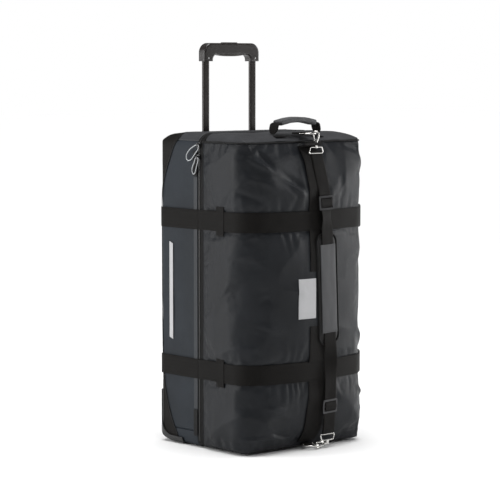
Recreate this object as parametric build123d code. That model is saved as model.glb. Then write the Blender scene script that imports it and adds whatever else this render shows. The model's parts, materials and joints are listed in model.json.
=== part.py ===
from build123d import *
import os
from functools import lru_cache
from math import cos, pi, sin, sqrt

os.makedirs("parts", exist_ok=True)

# A wheeled travel bag for ski gear, standing upright on its wheel end with the handle pulled out.
# Millimetres. X runs across the bag, Y from the front face to the back, Z up; the floor is Z = 0.

# main body
body_width = 400.0
body_depth = 342.0
body_height = 797.0
centre_shift = 24.0              # moves the body back, so that the whole bag is centred on the origin
rear_depth = 165.0               # from the back face to the zip
wall = 4.0                       # fabric, foam and lining together
front_bulge = 35.0
front_radius = 600.0             # the stuffed front face, seen from above
corner_radius = 60.0
back_corner_radius = 25.0
shoulder_radius = 40.0           # side to top
hem_radius = 20.0                # side to underside
back_top_drop = 10.0
front_top_drop = 18.0
underside_back = 8.0
underside_front = 1.4
top_seam_drop = 22.0
bottom_seam = 40.0

# rear tub and its boundary on the sides, as distances forward of the back face at heights up the side
tub_top_reach = 75.0
tub_waist_reach = 5.0
tub_bottom_reach = 86.0

# zip
tape_rear = 8.0                  # tape behind the chain, under the storm flap
tape_front = 16.0                # tape in front of it, in full view
tape_inset = 1.0
tape_thickness = 2.0
chain_gap = 0.2
flap_width = 20.0
flap_low = 99.0
flap_top_drop = 110.0            # heights near the top are measured down from the body's height
trim_proud = 1.3                 # flap, band and piping stand this far out of the fabric
slider_length = 14.0
slider_width = 11.0
slider_depth = 5.0
slider_rest = 0.4                # sliders clear of the tape
flap_clear = 0.5                 # storm flap clear of the sliders' path
lower_slider_drop = 61.0
upper_slider_angle = 13.0        # up round the shoulder from the flat side
zip_cord_diameter = 2.4
lid_gap = 0.4                    # between the two halves along the hinge
hinge_strip = 16.0               # the zip stops this far in from the hinge side

# compression straps
strap_width = 50.0
strap_thickness = 1.6
lower_strap_z = 202.0
upper_strap_drop = 217.0
strap_lift = 1.4
keeper_width = 28.0
keeper_height = 73.0
keeper_front = -70.0
keeper_thickness = 1.4
buckle_width = 60.0
buckle_thickness = 9.5
female_front = -125.0
female_length = 40.0
male_length = 27.0
prong_length = 24.0
prong_width = 7.0
prong_thickness = 4.0
buckle_play = 0.4

# centre band, in two lengths
band_left = -22.0
band_width = 58.0
band_break_low = 316.0
band_break_drop = 344.0

# trolley handle
tube_spacing = 158.0
tube_inset = 45.0                # tube centre in front of the back face
inner_tube = (20.0, 10.0, 1.2)   # X, Y, wall
outer_tube = (26.0, 16.0, 1.4)
handle_travel = 225.0
handle_rise = 226.0              # grip top above the body when pulled out
tube_overlap = 95.0              # inner tube left inside when pulled out
grip_width = 185.0
grip_depth = 28.0
grip_leg_height = 47.0
grip_leg_width = 29.0
grip_bar_height = 30.0
grip_corner = 25.0
grip_window_corner = 14.0
tube_in_grip = 20.0
insert_length = 96.0
insert_drop = 4.0
button_length = 49.0
button_depth = 13.0
button_proud = 2.0
button_travel = 4.0
button_play = 0.4
rod_diameter = 4.0
pocket_depth = 62.0
pocket_width = 204.0
pocket_length = 36.0
pocket_wall = 2.5
tube_foot_z = 72.0
slide_play = 0.3

# wheels and their housings
wheel_radius = 40.0
wheel_width = 26.0
wheel_inset = 44.0               # wheel centre plane in from the side
wheel_back = 45.0                # axle in front of the back face
tread_depth = 9.0
bearing_radius = 11.0
bearing_width = 7.0
axle_radius = 4.0
axle_play = 0.05
well_gap = 6.0
housing_proud = 3.5
housing_wall = 3.0
housing_above = 52.0             # above the tyre
housing_reach = 98.0
housing_width = 72.0
rim_width = 12.0

# back protection
kick_thickness = 3.0
rail_width = 16.0
rail_proud = 4.5
rail_gap = 18.0                  # above the kick plate
rail_top_drop = 107.0
board_thickness = 2.5
board_width = 330.0
board_clear = 3.0                # above the wheel wells
foot_length = 32.0
foot_width = 30.0

# rings, hooks and shoulder strap
ring_width = 44.0
ring_length = 34.0
ring_wire = 4.0
top_ring_drop = 1.0
top_ring_front = 20.0            # ring apex in front of the front face's top edge
ring_corner = 0.86               # rounded end's radius as a share of half the width
hook_x = 21.0
hook_wire = 4.5
hook_eye_width = 14.0
hook_eye_length = 24.0
swivel_radius = 3.6
shank_radius = 4.2
gate_barrel = 1.7                # round end that a hook's gate turns on
ring_play = 0.3                  # hooks clear of the rings they hang in
loop_width = 52.0
loop_height = 15.0
loop_wire = 3.6
hook_tilt = 95.0                 # the lower hook lies along the floor, from upright
low_ring_z = 11.0
sling_width = 38.0
sling_thickness = 1.8
sling_x = 22.0                   # at the upper hook
sling_lean = 2.3                 # degrees
lower_glide_z = 107.5
upper_glide_drop = 173.5
glide_size = (48.0, 3.0, 35.0)
glide_rail = 4.5
pad_low = 267.0
pad_top_drop = 251.0
pad_width = 68.0
pad_thickness = 8.0
pad_standoff = 3.6               # clear of the straps and the band beneath
sleeve_low_inset = 29.0
sleeve_high_inset = 27.0
sleeve_width = 50.0
sleeve_thickness = 2.0

# top carry handle
handle_back_of_front = 40.0      # handle centre line behind the front face
handle_span = 150.0
handle_height = 42.0
handle_sleeve_length = 118.0
handle_sleeve_size = (34.0, 14.0)
handle_web = (30.0, 4.0)
handle_rest = 0.6                # legs stand this far clear of the top, on their rounded ends

# derived places
back_y = body_depth / 2 + centre_shift
front_y = back_y - body_depth
zip_y = back_y - rear_depth
half_width = body_width / 2
tube_x = tube_spacing / 2
tube_y = back_y - tube_inset
handle_y = front_y + handle_back_of_front
top_seam = body_height - top_seam_drop
flap_high = body_height - flap_top_drop
lower_slider_z = body_height - lower_slider_drop
strap_heights = (lower_strap_z, body_height - upper_strap_drop)
band_break_high = body_height - band_break_drop
top_ring_z = body_height - top_ring_drop
glide_heights = (lower_glide_z, body_height - upper_glide_drop)
pad_high = body_height - pad_top_drop
sleeve_low = pad_low + sleeve_low_inset
sleeve_high = pad_high - sleeve_high_inset
housing_height = 2 * wheel_radius + housing_above
rail_low = housing_height + rail_gap
rail_high = body_height - rail_top_drop
well_top = 2 * wheel_radius + well_gap + housing_wall
face_y = front_y - front_bulge
wheel_x = half_width - wheel_inset
wheel_y = back_y - wheel_back
pocket_floor = body_height - pocket_depth
grip_top = body_height + handle_rise
grip_bottom = grip_top - grip_leg_height
inner_foot = pocket_floor - tube_overlap
far = 2000.0


def block(x0, x1, y0, y1, z0, z1):
    return Pos((x0 + x1) / 2, (y0 + y1) / 2, (z0 + z1) / 2) * Box(x1 - x0, y1 - y0, z1 - z0)


def save(name, *shapes):
    pieces = [solid for shape in shapes for solid in shape.solids()]
    export_step(pieces[0] if len(pieces) == 1 else Compound(children=pieces), f"parts/{name}.step")


def polar(centre, radius, angle):
    return (centre[0] + radius * cos(angle), centre[1] + radius * sin(angle))


def plan_outline(inset):
    """Outline seen from above: flat sides, small corners behind, large ones before a bulged front."""
    side = half_width - inset
    bulge_centre = (0, face_y + front_radius)
    offset_x = half_width - corner_radius
    reach = front_radius - corner_radius
    corner_y = bulge_centre[1] - sqrt(reach**2 - offset_x**2)
    ux, uy = offset_x / reach, (corner_y - bulge_centre[1]) / reach
    r_front, r_corner, r_back = front_radius - inset, corner_radius - inset, back_corner_radius - inset
    join = (bulge_centre[0] + r_front * ux, bulge_centre[1] + r_front * uy)
    middle = ((1 + ux) / 2, uy / 2)
    length = sqrt(middle[0] ** 2 + middle[1] ** 2)
    corner_mid = (offset_x + r_corner * middle[0] / length, corner_y + r_corner * middle[1] / length)
    back_centre = (half_width - back_corner_radius, back_y - back_corner_radius)
    back_mid = polar(back_centre, r_back, pi / 4)
    right = [
        ThreePointArc((0, face_y + inset), (join[0] / 2, bulge_centre[1] - sqrt(r_front**2 - join[0] ** 2 / 4)), join),
        ThreePointArc(join, corner_mid, (side, corner_y)),
        Line((side, corner_y), (side, back_centre[1])),
        ThreePointArc((side, back_centre[1]), back_mid, (back_centre[0], back_y - inset)),
        Line((back_centre[0], back_y - inset), (0, back_y - inset)),
    ]
    left = [mirror(edge, about=Plane.YZ) for edge in right]
    return make_face(Curve() + right + left)


def side_outline(inset):
    """Outline seen from the side: square back, domed top, front face bulged between its seams."""
    corners = [
        (back_y, underside_back, 56.0),
        (back_y, body_height - back_top_drop, 45.0),
        (zip_y + 78, body_height, 150.0),
        (front_y + 55, body_height - 1, 110.0),
        (front_y + 8, body_height - front_top_drop, 18.0),
        (face_y, body_height - 157, 150.0),
        (face_y, 160.0, 150.0),
        (front_y + 4, underside_front, 24.0),
    ]
    wire = FilletPolyline(*[(y, z) for y, z, _ in corners], radius=[r for _, _, r in corners], close=True)
    face = make_face(wire)
    return offset(face, amount=-inset, kind=Kind.INTERSECTION) if inset else face


def end_outline(inset):
    """Outline seen from the front: soft shoulders above, a tighter hem below."""
    low, high = underside_front + inset, body_height - inset
    width = 2 * (half_width - inset)
    sheet = Pos(0, (low + high) / 2) * Rectangle(width, high - low)
    shoulders = sheet.vertices().sort_by(Axis.Y)[-2:]
    sheet = fillet(shoulders, shoulder_radius - inset)
    return fillet(sheet.vertices().sort_by(Axis.Y)[:2], hem_radius - inset)


@lru_cache
def body(inset):
    """The stuffed bag's outer form, moved in by an inset, or out by a negative one."""
    tall = extrude(Plane.XY.offset(-50) * plan_outline(inset), body_height + 150)
    wide = extrude(Plane.YZ * side_outline(inset), far, both=True)
    deep = extrude(Plane.XZ * end_outline(inset), far, both=True)
    return tall & wide & deep


@lru_cache
def skin(outer, inner):
    return body(outer) - body(inner)


def tub_curve(shift=0.0):
    """The rear tub's front edge on the side: far forward at both ends, close to the back between."""
    top, waist, foot = tub_top_reach, tub_waist_reach, tub_bottom_reach
    points = [
        (back_y - top - shift, body_height - 12),
        (back_y - top * 0.56 - shift, body_height - 74),
        (back_y - top * 0.21 - shift, body_height - 143),
        (back_y - waist - 1 - shift, body_height - 237),
        (back_y - waist - shift, body_height / 2),
        (back_y - waist - 7 - shift, 280.0),
        (back_y - foot * 0.28 - shift, 142.0),
        (back_y - foot * 0.52 - shift, 77.0),
        (back_y - foot - shift, 9.0),
    ]
    return Spline(*points)


def tub_side(shift=0.0):
    """Everything behind the tub's edge, as a prism across the bag."""
    curve = tub_curve(shift)
    high, low = curve @ 0, curve @ 1
    rest = Polyline(
        (low.X, low.Y), (low.X, -60), (back_y + 60, -60), (back_y + 60, body_height + 60),
        (high.X, body_height + 60), (high.X, high.Y),
    )
    return extrude(Plane.YZ * make_face(Curve() + [curve, rest]), far, both=True)


def wheel_block(side, grow):
    """The room that one wheel well takes inside the bag, grown outwards by a wall."""
    half = wheel_width / 2 + well_gap / 2 + grow
    reach = wheel_radius + well_gap + grow
    x = side * wheel_x
    round_part = Pos(x, wheel_y, wheel_radius) * Rot(0, 90, 0) * Cylinder(reach, 2 * half)
    behind = block(x - half, x + half, wheel_y, back_y + 30, -30, wheel_radius + reach)
    below = block(x - half, x + half, wheel_y - reach, back_y + 30, -30, wheel_radius)
    return round_part + behind + below


def well_rooms(grow):
    return wheel_block(-1, grow) + wheel_block(1, grow)


def pocket_room(grow):
    half_x, half_y = pocket_width / 2 + grow, pocket_length / 2 + grow
    room = block(-half_x, half_x, tube_y - half_y, tube_y + half_y, pocket_floor - grow, body_height + 60)
    return fillet(room.edges().filter_by(Axis.Z), 6.0 + grow)


def rear_region():
    """Behind the zip tape on three sides, and behind the hinge gap on the hinge side."""
    behind_tape = block(-far, far, zip_y + tape_rear, far, -far, far)
    hinge_side = block(half_width - hinge_strip, far, zip_y + lid_gap / 2, far, -far, far)
    return behind_tape + hinge_side


def front_region():
    before_tape = block(-far, far, -far, zip_y - tape_front, -far, far)
    hinge_side = block(half_width - hinge_strip, far, -far, zip_y - lid_gap / 2, -far, far)
    return before_tape + hinge_side


def rear_half():
    rear = skin(0, wall) & rear_region()
    tub = tub_side()
    cut = well_rooms(housing_wall)
    pocket = pocket_room(pocket_wall)
    save("rear_tub", (rear & tub) - cut - pocket)
    soft = (rear - tub) - cut - pocket
    tall = block(-far, far, -far, far, bottom_seam, top_seam)
    save("rear_side_panels", soft & tall)
    save("rear_end_panels", soft - tall)
    edge = tub_side(4.0) - tub
    piping = edge & skin(-trim_proud, 0) & rear_region()
    save("tub_piping", piping - block(-far, far, -far, far, -far, underside_back + rim_width + 4))


def zip_parts():
    ring = skin(tape_inset, tape_inset + tape_thickness) & block(-far, half_width - hinge_strip, -far, far, -far, far)
    save("zip_tape_rear", ring & block(-far, far, zip_y + chain_gap, zip_y + tape_rear, -far, far))
    save("zip_tape_front", ring & block(-far, far, zip_y - tape_front, zip_y - chain_gap, -far, far))
    flap = skin(-trim_proud, 0) & block(-far, 0, zip_y + slider_width / 2 + flap_clear, zip_y + flap_width, flap_low, flap_high)
    save("zip_flap", flap)
    lower = Pos(-half_width - slider_rest, zip_y, lower_slider_z) * Rot(0, -90, 0)
    save("zip_slider_lower", lower * slider_body())
    upper = shoulder_frame() * Pos(-shoulder_radius - slider_rest, 0, 0) * Rot(0, -90, 0)
    save("zip_slider_upper", upper * slider_body())
    for name, points in zip_cord_routes():
        save(name, cord_tube(points, 0.45, zip_cord_diameter))


def shoulder_frame():
    """Centre of the rounded shoulder on the zip's line, turned up to the upper slider."""
    centre = Pos(-half_width + shoulder_radius, zip_y, body_height - shoulder_radius)
    return centre * Rot(0, upper_slider_angle, 0)


def slider_body():
    """Slider lying flat with its back down, its length in X, with a bail that takes the cord."""
    plate = Pos(0, 0, slider_depth / 4) * Box(slider_length, slider_width, slider_depth / 2)
    plate = fillet(plate.edges().filter_by(Axis.Z), 3.0)
    bail = Pos(0, 0, slider_depth / 2) * Box(9, 3, slider_depth * 1.2, align=(Align.CENTER, Align.CENTER, Align.MIN))
    eye = Pos(0, 0, slider_depth * 1.15) * Rot(90, 0, 0) * Cylinder(1.6, 6)
    return plate + bail - eye


def zip_cord_routes():
    """Two loops of pull cord, each from one side of its slider's bail round to the other."""
    eye = shoulder_frame() * Pos(-shoulder_radius - slider_rest - slider_depth * 1.15, 0, 0)
    ux, uz = eye.position.X, eye.position.Z
    y = zip_y
    upper = [
        (ux, y + 2.1, uz), (ux - 0.5, y + 6.5, uz - 0.5), (ux - 1.0, y + 17, uz - 5), (ux - 1.8, y + 32, uz - 14),
        (ux - 2.0, y + 43, uz - 27), (ux - 1.6, y + 41, uz - 39), (ux - 1.0, y + 30, uz - 41),
        (ux - 0.6, y + 18, uz - 32), (ux - 0.8, y + 7, uz - 20), (ux - 1.0, y - 3, uz - 12),
        (ux - 0.6, y - 5.5, uz - 3), (ux, y - 2.1, uz),
    ]
    lx, lz = -half_width - slider_rest - slider_depth * 1.15, lower_slider_z
    lower = [
        (lx, y + 2.1, lz), (lx - 0.4, y + 6.5, lz - 1.2), (lx - 0.8, y + 10.5, lz - 12), (lx - 0.4, y + 19, lz - 25),
        (lx + 0.6, y + 21.5, lz - 36), (lx + 0.8, y + 15.5, lz - 43.5), (lx + 0.6, y + 8, lz - 38),
        (lx - 0.2, y + 4, lz - 26), (lx - 0.8, y - 1.5, lz - 15), (lx - 0.6, y - 5.5, lz - 4), (lx, y - 2.1, lz),
    ]
    return [("zip_cord_lower", lower), ("zip_cord_upper", upper)]


def cord_radii(points, share):
    """The largest arc at each corner that its two runs allow."""
    radii = []
    for before, here, after in zip(points, points[1:], points[2:]):
        run_in, run_out = Vector(*here) - Vector(*before), Vector(*after) - Vector(*here)
        turn = run_in.get_angle(run_out) * pi / 180
        half_tan = sin(turn / 2) / cos(turn / 2)
        radii.append(share * min(run_in.length, run_out.length) / half_tan)
    return radii


def cord_tube(points, share, diameter):
    radii = cord_radii(points, share)
    print("cord radii", [round(r, 1) for r in radii])
    path = FilletPolyline(*points, radius=radii)
    start = Plane(origin=path @ 0, z_dir=path % 0)
    tube = sweep(start * Circle(diameter / 2), path=path)
    print("cord volume share", round(tube.volume / (pi * diameter**2 / 4 * path.length), 4))
    return tube


def strap_band(height):
    low, high = height - strap_width / 2, height + strap_width / 2
    return skin(-strap_lift - strap_thickness, -strap_lift) & block(-far, far, -far, far, low, high)


def straps():
    """Two compression straps: each runs round the front half, and its two ends are sewn to the rear half."""
    fronts, tails, keepers, females = [], [], [], []
    for name, height in zip(("lower", "upper"), strap_heights):
        band = strap_band(height)
        fronts.append(band & block(-far, far, -far, zip_y - lid_gap, -far, far))
        tail_end = back_y - back_corner_radius - 6
        rear = band & block(-far, far, zip_y + lid_gap, tail_end, -far, far)
        tails.append(rear & block(-far, 0, -far, far, -far, far))
        tails.append(rear & block(0, far, -far, zip_y + 90, -far, far))
        keepers.append(keeper(height))
        female, male = buckle(height)
        females.append(female)
        save(f"buckle_plug_{name}", male)
    save("compression_straps", *fronts)
    save("strap_tails", *tails)
    save("strap_keepers", *keepers)
    save("buckle_sleeves", *females)


def keeper(height):
    outer = strap_lift + strap_thickness + 0.1
    low, high = height - keeper_height / 2, height + keeper_height / 2
    whole = skin(-outer - keeper_thickness, 0)
    whole = whole & block(-far, 0, keeper_front, keeper_front + keeper_width, low, high)
    room = skin(-outer, 0) & block(-far, 0, -far, far, low + 6, high - 6)
    return whole - room


def buckle(height):
    """Side-release buckle on the hinge side: a flat sleeve and a two-pronged plug, both lying along Y."""
    x0 = half_width + strap_lift + strap_thickness + 0.2
    x1 = x0 + buckle_thickness
    half = buckle_width / 2
    mouth = female_front + female_length
    shell = fillet(block(x0, x1, female_front, mouth, height - half, height + half).edges().filter_by(Axis.X), 7.0)
    shell = chamfer(shell.faces().sort_by(Axis.X)[-1].edges(), 1.5)
    room_x = (x0 + (buckle_thickness - prong_thickness) / 2, x1 - (buckle_thickness - prong_thickness) / 2)
    room = block(room_x[0] - buckle_play, room_x[1] + buckle_play, mouth - prong_length - 3, mouth + 5,
                 height - half + 7, height + half - 7)
    slot = block(x0 - 1, x1 + 1, female_front + 4, female_front + 10, height - 26, height + 26)
    windows = block(x0 + 2, x1 - 2, mouth - 20, mouth - 9, height - half - 1, height + half + 1)
    female = shell - room - slot - windows
    plug = fillet(block(x0, x1, mouth + buckle_play, mouth + male_length, height - half, height + half)
                  .edges().filter_by(Axis.X), 6.0)
    plug = chamfer(plug.faces().sort_by(Axis.X)[-1].edges(), 1.5)
    plug = plug - block(x0 - 1, x1 + 1, mouth + 9, mouth + 15, height - 26, height + 26)
    plug = plug - block(x0 - 1, x1 + 1, mouth + 19, mouth + 23, height - 26, height + 26)
    for z in (height - half + 8, height - prong_width / 2, height + half - 8 - prong_width):
        plug = plug + block(room_x[0], room_x[1], mouth - prong_length, mouth + 2, z, z + prong_width)
    return female, plug


def lid():
    front = skin(0, wall) & front_region()
    tall = block(-far, far, -far, far, bottom_seam, top_seam)
    save("front_panel", front & tall)
    save("front_end_panels", front - tall)
    strip = skin(-trim_proud, 0) & block(band_left, band_left + band_width, -far, front_y + 30, 20, top_seam)
    save("centre_band", strip - block(-far, far, -far, far, band_break_low, band_break_high))


def ring(width, length, wire):
    """D ring flat in XY: straight bar on the X axis, rounded end towards -Y."""
    half = width / 2 - wire / 2
    reach = length - wire
    path = FilletPolyline(
        (-half, 0, 0), (half, 0, 0), (half, -reach, 0), (-half, -reach, 0),
        radius=[4.0, 4.0, half * ring_corner, half * ring_corner], close=True,
    )
    return swept_ring(path, wire)


def ring_corner_place():
    """Where a hook lies against the ring: the middle of one rounded corner, from the bar's middle."""
    half = ring_width / 2 - ring_wire / 2
    radius = half * ring_corner
    return half - radius + radius * sqrt(0.5), -(ring_length - ring_wire - radius + radius * sqrt(0.5))


def swept_ring(path, wire):
    start = Plane(origin=path @ 0, z_dir=path % 0)
    return sweep(start * Circle(wire / 2), path=path)


def snap_hook():
    """Swivel hook hanging from the origin down -Z, in the XZ plane; origin at the eye's inner top."""
    half = hook_eye_width / 2
    top = hook_wire / 2
    foot = -hook_eye_length
    gate_reach = 7.0
    eye_path = FilletPolyline(
        (-half, 0, top - gate_reach), (-half, 0, top), (half, 0, top), (half * 0.9, 0, foot * 0.55), (1.5, 0, foot),
        radius=[half * 0.85, half * 0.85, 12.0],
    )
    start = Plane(origin=eye_path @ 0, z_dir=eye_path % 0)
    eye = sweep(start * Circle(hook_wire / 2), path=eye_path)
    shank = Pos(0, 0, foot - 3) * Cylinder(shank_radius, 9)
    bore = Pos(0, 0, foot - 4) * Cylinder(1.9, 14)
    body_part = eye + shank - bore
    gate_end = (-3.4, 0, foot + 4.6)
    gate = cylinder_between((-half, 0, top - gate_reach - 0.6), gate_end, 1.6)
    gate = gate + Pos(*gate_end) * Rot(90, 0, 0) * Cylinder(gate_barrel, 4.0)
    swivel_z = foot - 8
    pin = Pos(0, 0, swivel_z + 1) * Cylinder(1.7, 8)
    neck = Pos(0, 0, swivel_z - 3.4) * Cylinder(swivel_radius, 6)
    loop_half = loop_width / 2 - loop_wire / 2
    loop_top = swivel_z - 4.4
    loop_low = loop_top - loop_height
    loop_path = FilletPolyline(
        (loop_half * 0.8, 0, loop_top), (loop_half, 0, loop_low), (-loop_half, 0, loop_low),
        (-loop_half * 0.8, 0, loop_top), radius=[4.0, 3.5, 3.5, 4.0], close=True,
    )
    loop = swept_ring(loop_path, loop_wire) + neck + pin
    return body_part, gate, loop, loop_low


def cylinder_between(start, end, radius):
    run = Vector(*end) - Vector(*start)
    return Plane(origin=start, z_dir=run) * Cylinder(radius, run.length, align=(Align.CENTER, Align.CENTER, Align.MIN))


def top_over(x0, x1, y0, y1):
    """Height of the bag's top over a patch."""
    column = body(0) & block(x0, x1, y0, y1, body_height - 90, body_height + 40)
    return column.bounding_box().max.Z


def carry_handle():
    """Padded grip on two webbing legs, standing over the top panel and hinged where the legs are sewn."""
    width, thick = handle_web
    span, half = handle_span / 2, handle_sleeve_length / 2
    foot = top_over(-span - thick, span + thick, handle_y - width / 2, handle_y + width / 2) + handle_rest
    pivot_z = foot + width / 2
    print("carry handle turns about Z", round(pivot_z, 2))
    crown, shoulder = foot + handle_height - handle_sleeve_size[1] / 2, foot + handle_height - 15
    plane = Plane(origin=(0, handle_y, 0), x_dir=(1, 0, 0), z_dir=(0, -1, 0))
    route = plane * ThreePointArc((-half, shoulder), (0, crown), (half, shoulder))
    start = Plane(origin=route @ 0, z_dir=route % 0, x_dir=(0, 1, 0))
    sleeve = sweep(start * RectangleRounded(*handle_sleeve_size, 5.5), path=route)
    tangent = route % 0
    rise = shoulder - tangent.Z / tangent.X * (span - 6 - half)
    leg = plane * FilletPolyline((-span, foot), (-span + 6, rise), (-half, shoulder), radius=[7.0])
    start = Plane(origin=leg @ 0, z_dir=leg % 0, x_dir=(0, 1, 0))
    rounded = Pos(0, handle_y, pivot_z) * Rot(0, 90, 0) * Cylinder(width / 2, 4 * span)
    rounded = rounded + block(-far, far, handle_y - width, handle_y + width, pivot_z, far)
    left = sweep(start * Rectangle(width, thick), path=leg) & rounded
    save("carry_handle_webbing", left, mirror(left, about=Plane.YZ))
    save("carry_handle_sleeve", sleeve)


def rings_and_hooks():
    """Two D rings on sewn tabs, a swivel hook in each, and the wire loops that take the webbing."""
    dx, dy = ring_corner_place()
    hook_body, gate, loop, loop_low = snap_hook()
    lift = ring_wire / 2 + ring_play
    bar_x, bar_y = hook_x - dx, front_y - top_ring_front + ring_length - ring_wire
    d_ring = ring(ring_width, ring_length, ring_wire)
    low_x, low_y = bar_x - 4, front_y - 6.0
    save("d_rings", Pos(bar_x, bar_y, top_ring_z) * d_ring, Pos(low_x, low_y, low_ring_z) * d_ring)
    tabs = [ring_tab(bar_x, bar_y, top_ring_z, 34.0), ring_tab(low_x, low_y, low_ring_z, 20.0)]
    save("ring_tabs", *[tab - body(-0.05) for tab in tabs])

    hang = Pos(hook_x, bar_y + dy, top_ring_z + lift)
    crossing = ring_wire / 2 / cos(pi / 4) + hook_wire / 2 + ring_play
    lie = Pos(low_x + dx, low_y + dy, low_ring_z) * Rot(0, -hook_tilt, 0) * Pos(0, 0, crossing)
    save("snap_hooks", hang * Rot(0, 0, -45) * hook_body, lie * hook_body)
    save("hook_gate_top", hang * Rot(0, 0, -45) * gate)
    save("hook_gate_bottom", lie * gate)

    centre = (lie * Pos(0, 0, -hook_eye_length - 8 - shank_radius)).position
    low_side = centre.Z + shank_radius + loop_wire / 2 + 2 * ring_play
    bar_z = low_side + loop_height
    knuckle = Pos(centre.X, centre.Y, centre.Z - shank_radius + 1) * Cylinder(
        shank_radius, low_side - centre.Z + shank_radius, align=(Align.CENTER, Align.CENTER, Align.MIN))
    half = loop_width / 2 - loop_wire / 2
    path = FilletPolyline(
        (-half, 0, bar_z), (half, 0, bar_z), (half * 0.8, 0, low_side), (-half * 0.8, 0, low_side),
        radius=[3.5, 3.5, 4.0, 4.0], close=True,
    )
    low_loop = knuckle + Pos(centre.X, centre.Y, 0) * swept_ring(path, loop_wire)
    save("hook_loops", hang * loop, low_loop)
    sling((bar_y + dy, top_ring_z + lift + loop_low), (centre.Y, bar_z), centre.X)


def ring_tab(x, y, z, length):
    """Folded webbing tab, its loop round the ring's straight bar and its tail running back."""
    half = ring_width / 2 - ring_wire - 5
    loop = Pos(x, y, z) * Rot(0, 90, 0) * Cylinder(ring_wire / 2 + 2.0, 2 * half)
    tail = block(x - half, x + half, y, y + length, z - 2.0, z + 2.0)
    return loop + tail - Pos(x, y, z) * Rot(0, 90, 0) * Cylinder(ring_wire / 2 + 0.1, 2 * half + 2)


def sling(upper_bar, lower_bar, lower_x):
    """Shoulder strap from the upper hook's loop down over the pad to the lower one's."""
    wrap = loop_wire / 2 + 0.1 + sling_thickness
    line = face_y - pad_standoff - pad_thickness - sling_thickness / 2
    high, low = upper_bar[1] - wrap, lower_bar[1] + wrap
    route = [(upper_bar[0], high), (line + 5, pad_high + 110), (line, pad_high + 10), (line, pad_low - 15),
             (line + 5, pad_low - 110), (lower_bar[0], low)]
    lean = Pos(sling_x, 0, high) * Rot(0, -sling_lean, 0) * Pos(0, 0, -high)
    path = Plane.YZ * FilletPolyline(*route, radius=[160.0, 300.0, 300.0, 300.0])
    start = Plane(origin=path @ 0, z_dir=path % 0, x_dir=(1, 0, 0))
    web = lean * sweep(start * Rectangle(sling_width, sling_thickness), path=path)
    fold = Rot(0, 90, 0) * Cylinder(wrap, sling_width) - Rot(0, 90, 0) * Cylinder(loop_wire / 2 + 0.1, sling_width + 2)
    top_fold = Pos(sling_x, *upper_bar) * fold
    low_fold = Pos(lower_x, *lower_bar) * fold
    save("sling_webbing", web + top_fold + low_fold)

    inner = face_y - pad_standoff
    pad = block(-pad_width / 2, pad_width / 2, inner - pad_thickness, inner, pad_low, pad_high)
    pad = fillet(pad.edges().filter_by(Axis.Y), pad_width * 0.3)
    save("sling_pad", lean * chamfer(pad.faces().sort_by(Axis.Y)[0].edges(), 2.5))
    outer = inner - pad_thickness - sling_thickness - 0.3
    sleeve = block(-sleeve_width / 2, sleeve_width / 2, outer - sleeve_thickness, outer, sleeve_low, sleeve_high)
    save("sling_pad_sleeve", lean * fillet(sleeve.edges().filter_by(Axis.Y), 3.0))

    glides = []
    for height in glide_heights:
        i = next(n for n in range(len(route) - 1) if route[n + 1][1] < height)
        (y0, z0), (y1, z1) = route[i], route[i + 1]
        share = (height - z0) / (z1 - z0)
        slope = Vector(0, y1 - y0, z1 - z0).get_signed_angle(Vector(0, 0, -1), Vector(1, 0, 0))
        gap = sling_thickness / 2 + glide_size[1] / 2 + 0.8
        place = Pos(0, y0 + (y1 - y0) * share - gap, height) * Rot(-slope, 0, 0)
        glides.append(lean * place * glide())
    save("tri_glides", *glides)


def glide():
    wide, thick, tall = glide_size
    plate = fillet(Box(wide, thick, tall).edges().filter_by(Axis.Y), 4.0)
    gap = (tall - 3 * glide_rail) / 2
    slot = Box(wide - 2 * glide_rail, thick + 2, gap)
    offset_z = (gap + glide_rail) / 2
    return plate - Pos(0, 0, offset_z) * slot - Pos(0, 0, -offset_z) * slot


def tube_bar(size, z0, z1, grow=0.0, radius=4.0):
    """Upright rounded bar of a tube's outer size, at the origin in X and Y."""
    bar = Box(size[0] + 2 * grow, size[1] + 2 * grow, z1 - z0, align=(Align.CENTER, Align.CENTER, Align.MIN))
    return Pos(0, 0, z0) * fillet(bar.edges().filter_by(Axis.Z), radius + grow)


def tube(size, z0, z1):
    return tube_bar(size, z0, z1) - tube_bar(size, z0 - 1, z1 + 1, grow=-size[2])


def both(shape):
    return [Pos(side * tube_x, tube_y, 0) * shape for side in (-1, 1)]


def trolley():
    """Fixed outer tubes, the sliding inner frame with its grip, and the release button."""
    bore = (outer_tube[0] - 2 * outer_tube[2], outer_tube[1] - 2 * outer_tube[2])
    inner_top = grip_bottom + tube_in_grip
    save("outer_tubes", *both(tube(outer_tube, tube_foot_z, pocket_floor)))
    save("inner_tubes", *both(tube(inner_tube, inner_foot, inner_top)))
    guide = tube_bar(bore, pocket_floor - 20, pocket_floor, radius=2.6)
    guide = guide + tube_bar((outer_tube[0] + 4, outer_tube[1] + 4), pocket_floor, pocket_floor + 3)
    guide = guide - tube_bar(inner_tube, pocket_floor - 30, pocket_floor + 10, grow=slide_play)
    save("tube_guides", *both(guide))
    plug = tube_bar(bore, inner_foot - 22, inner_foot, grow=-slide_play, radius=2.6)
    plug = plug + tube_bar(inner_tube, inner_foot, inner_foot + 12, grow=-inner_tube[2] - 0.1)
    save("lock_plugs", *both(plug))
    tray_and_foot()
    grip(inner_top)


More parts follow.
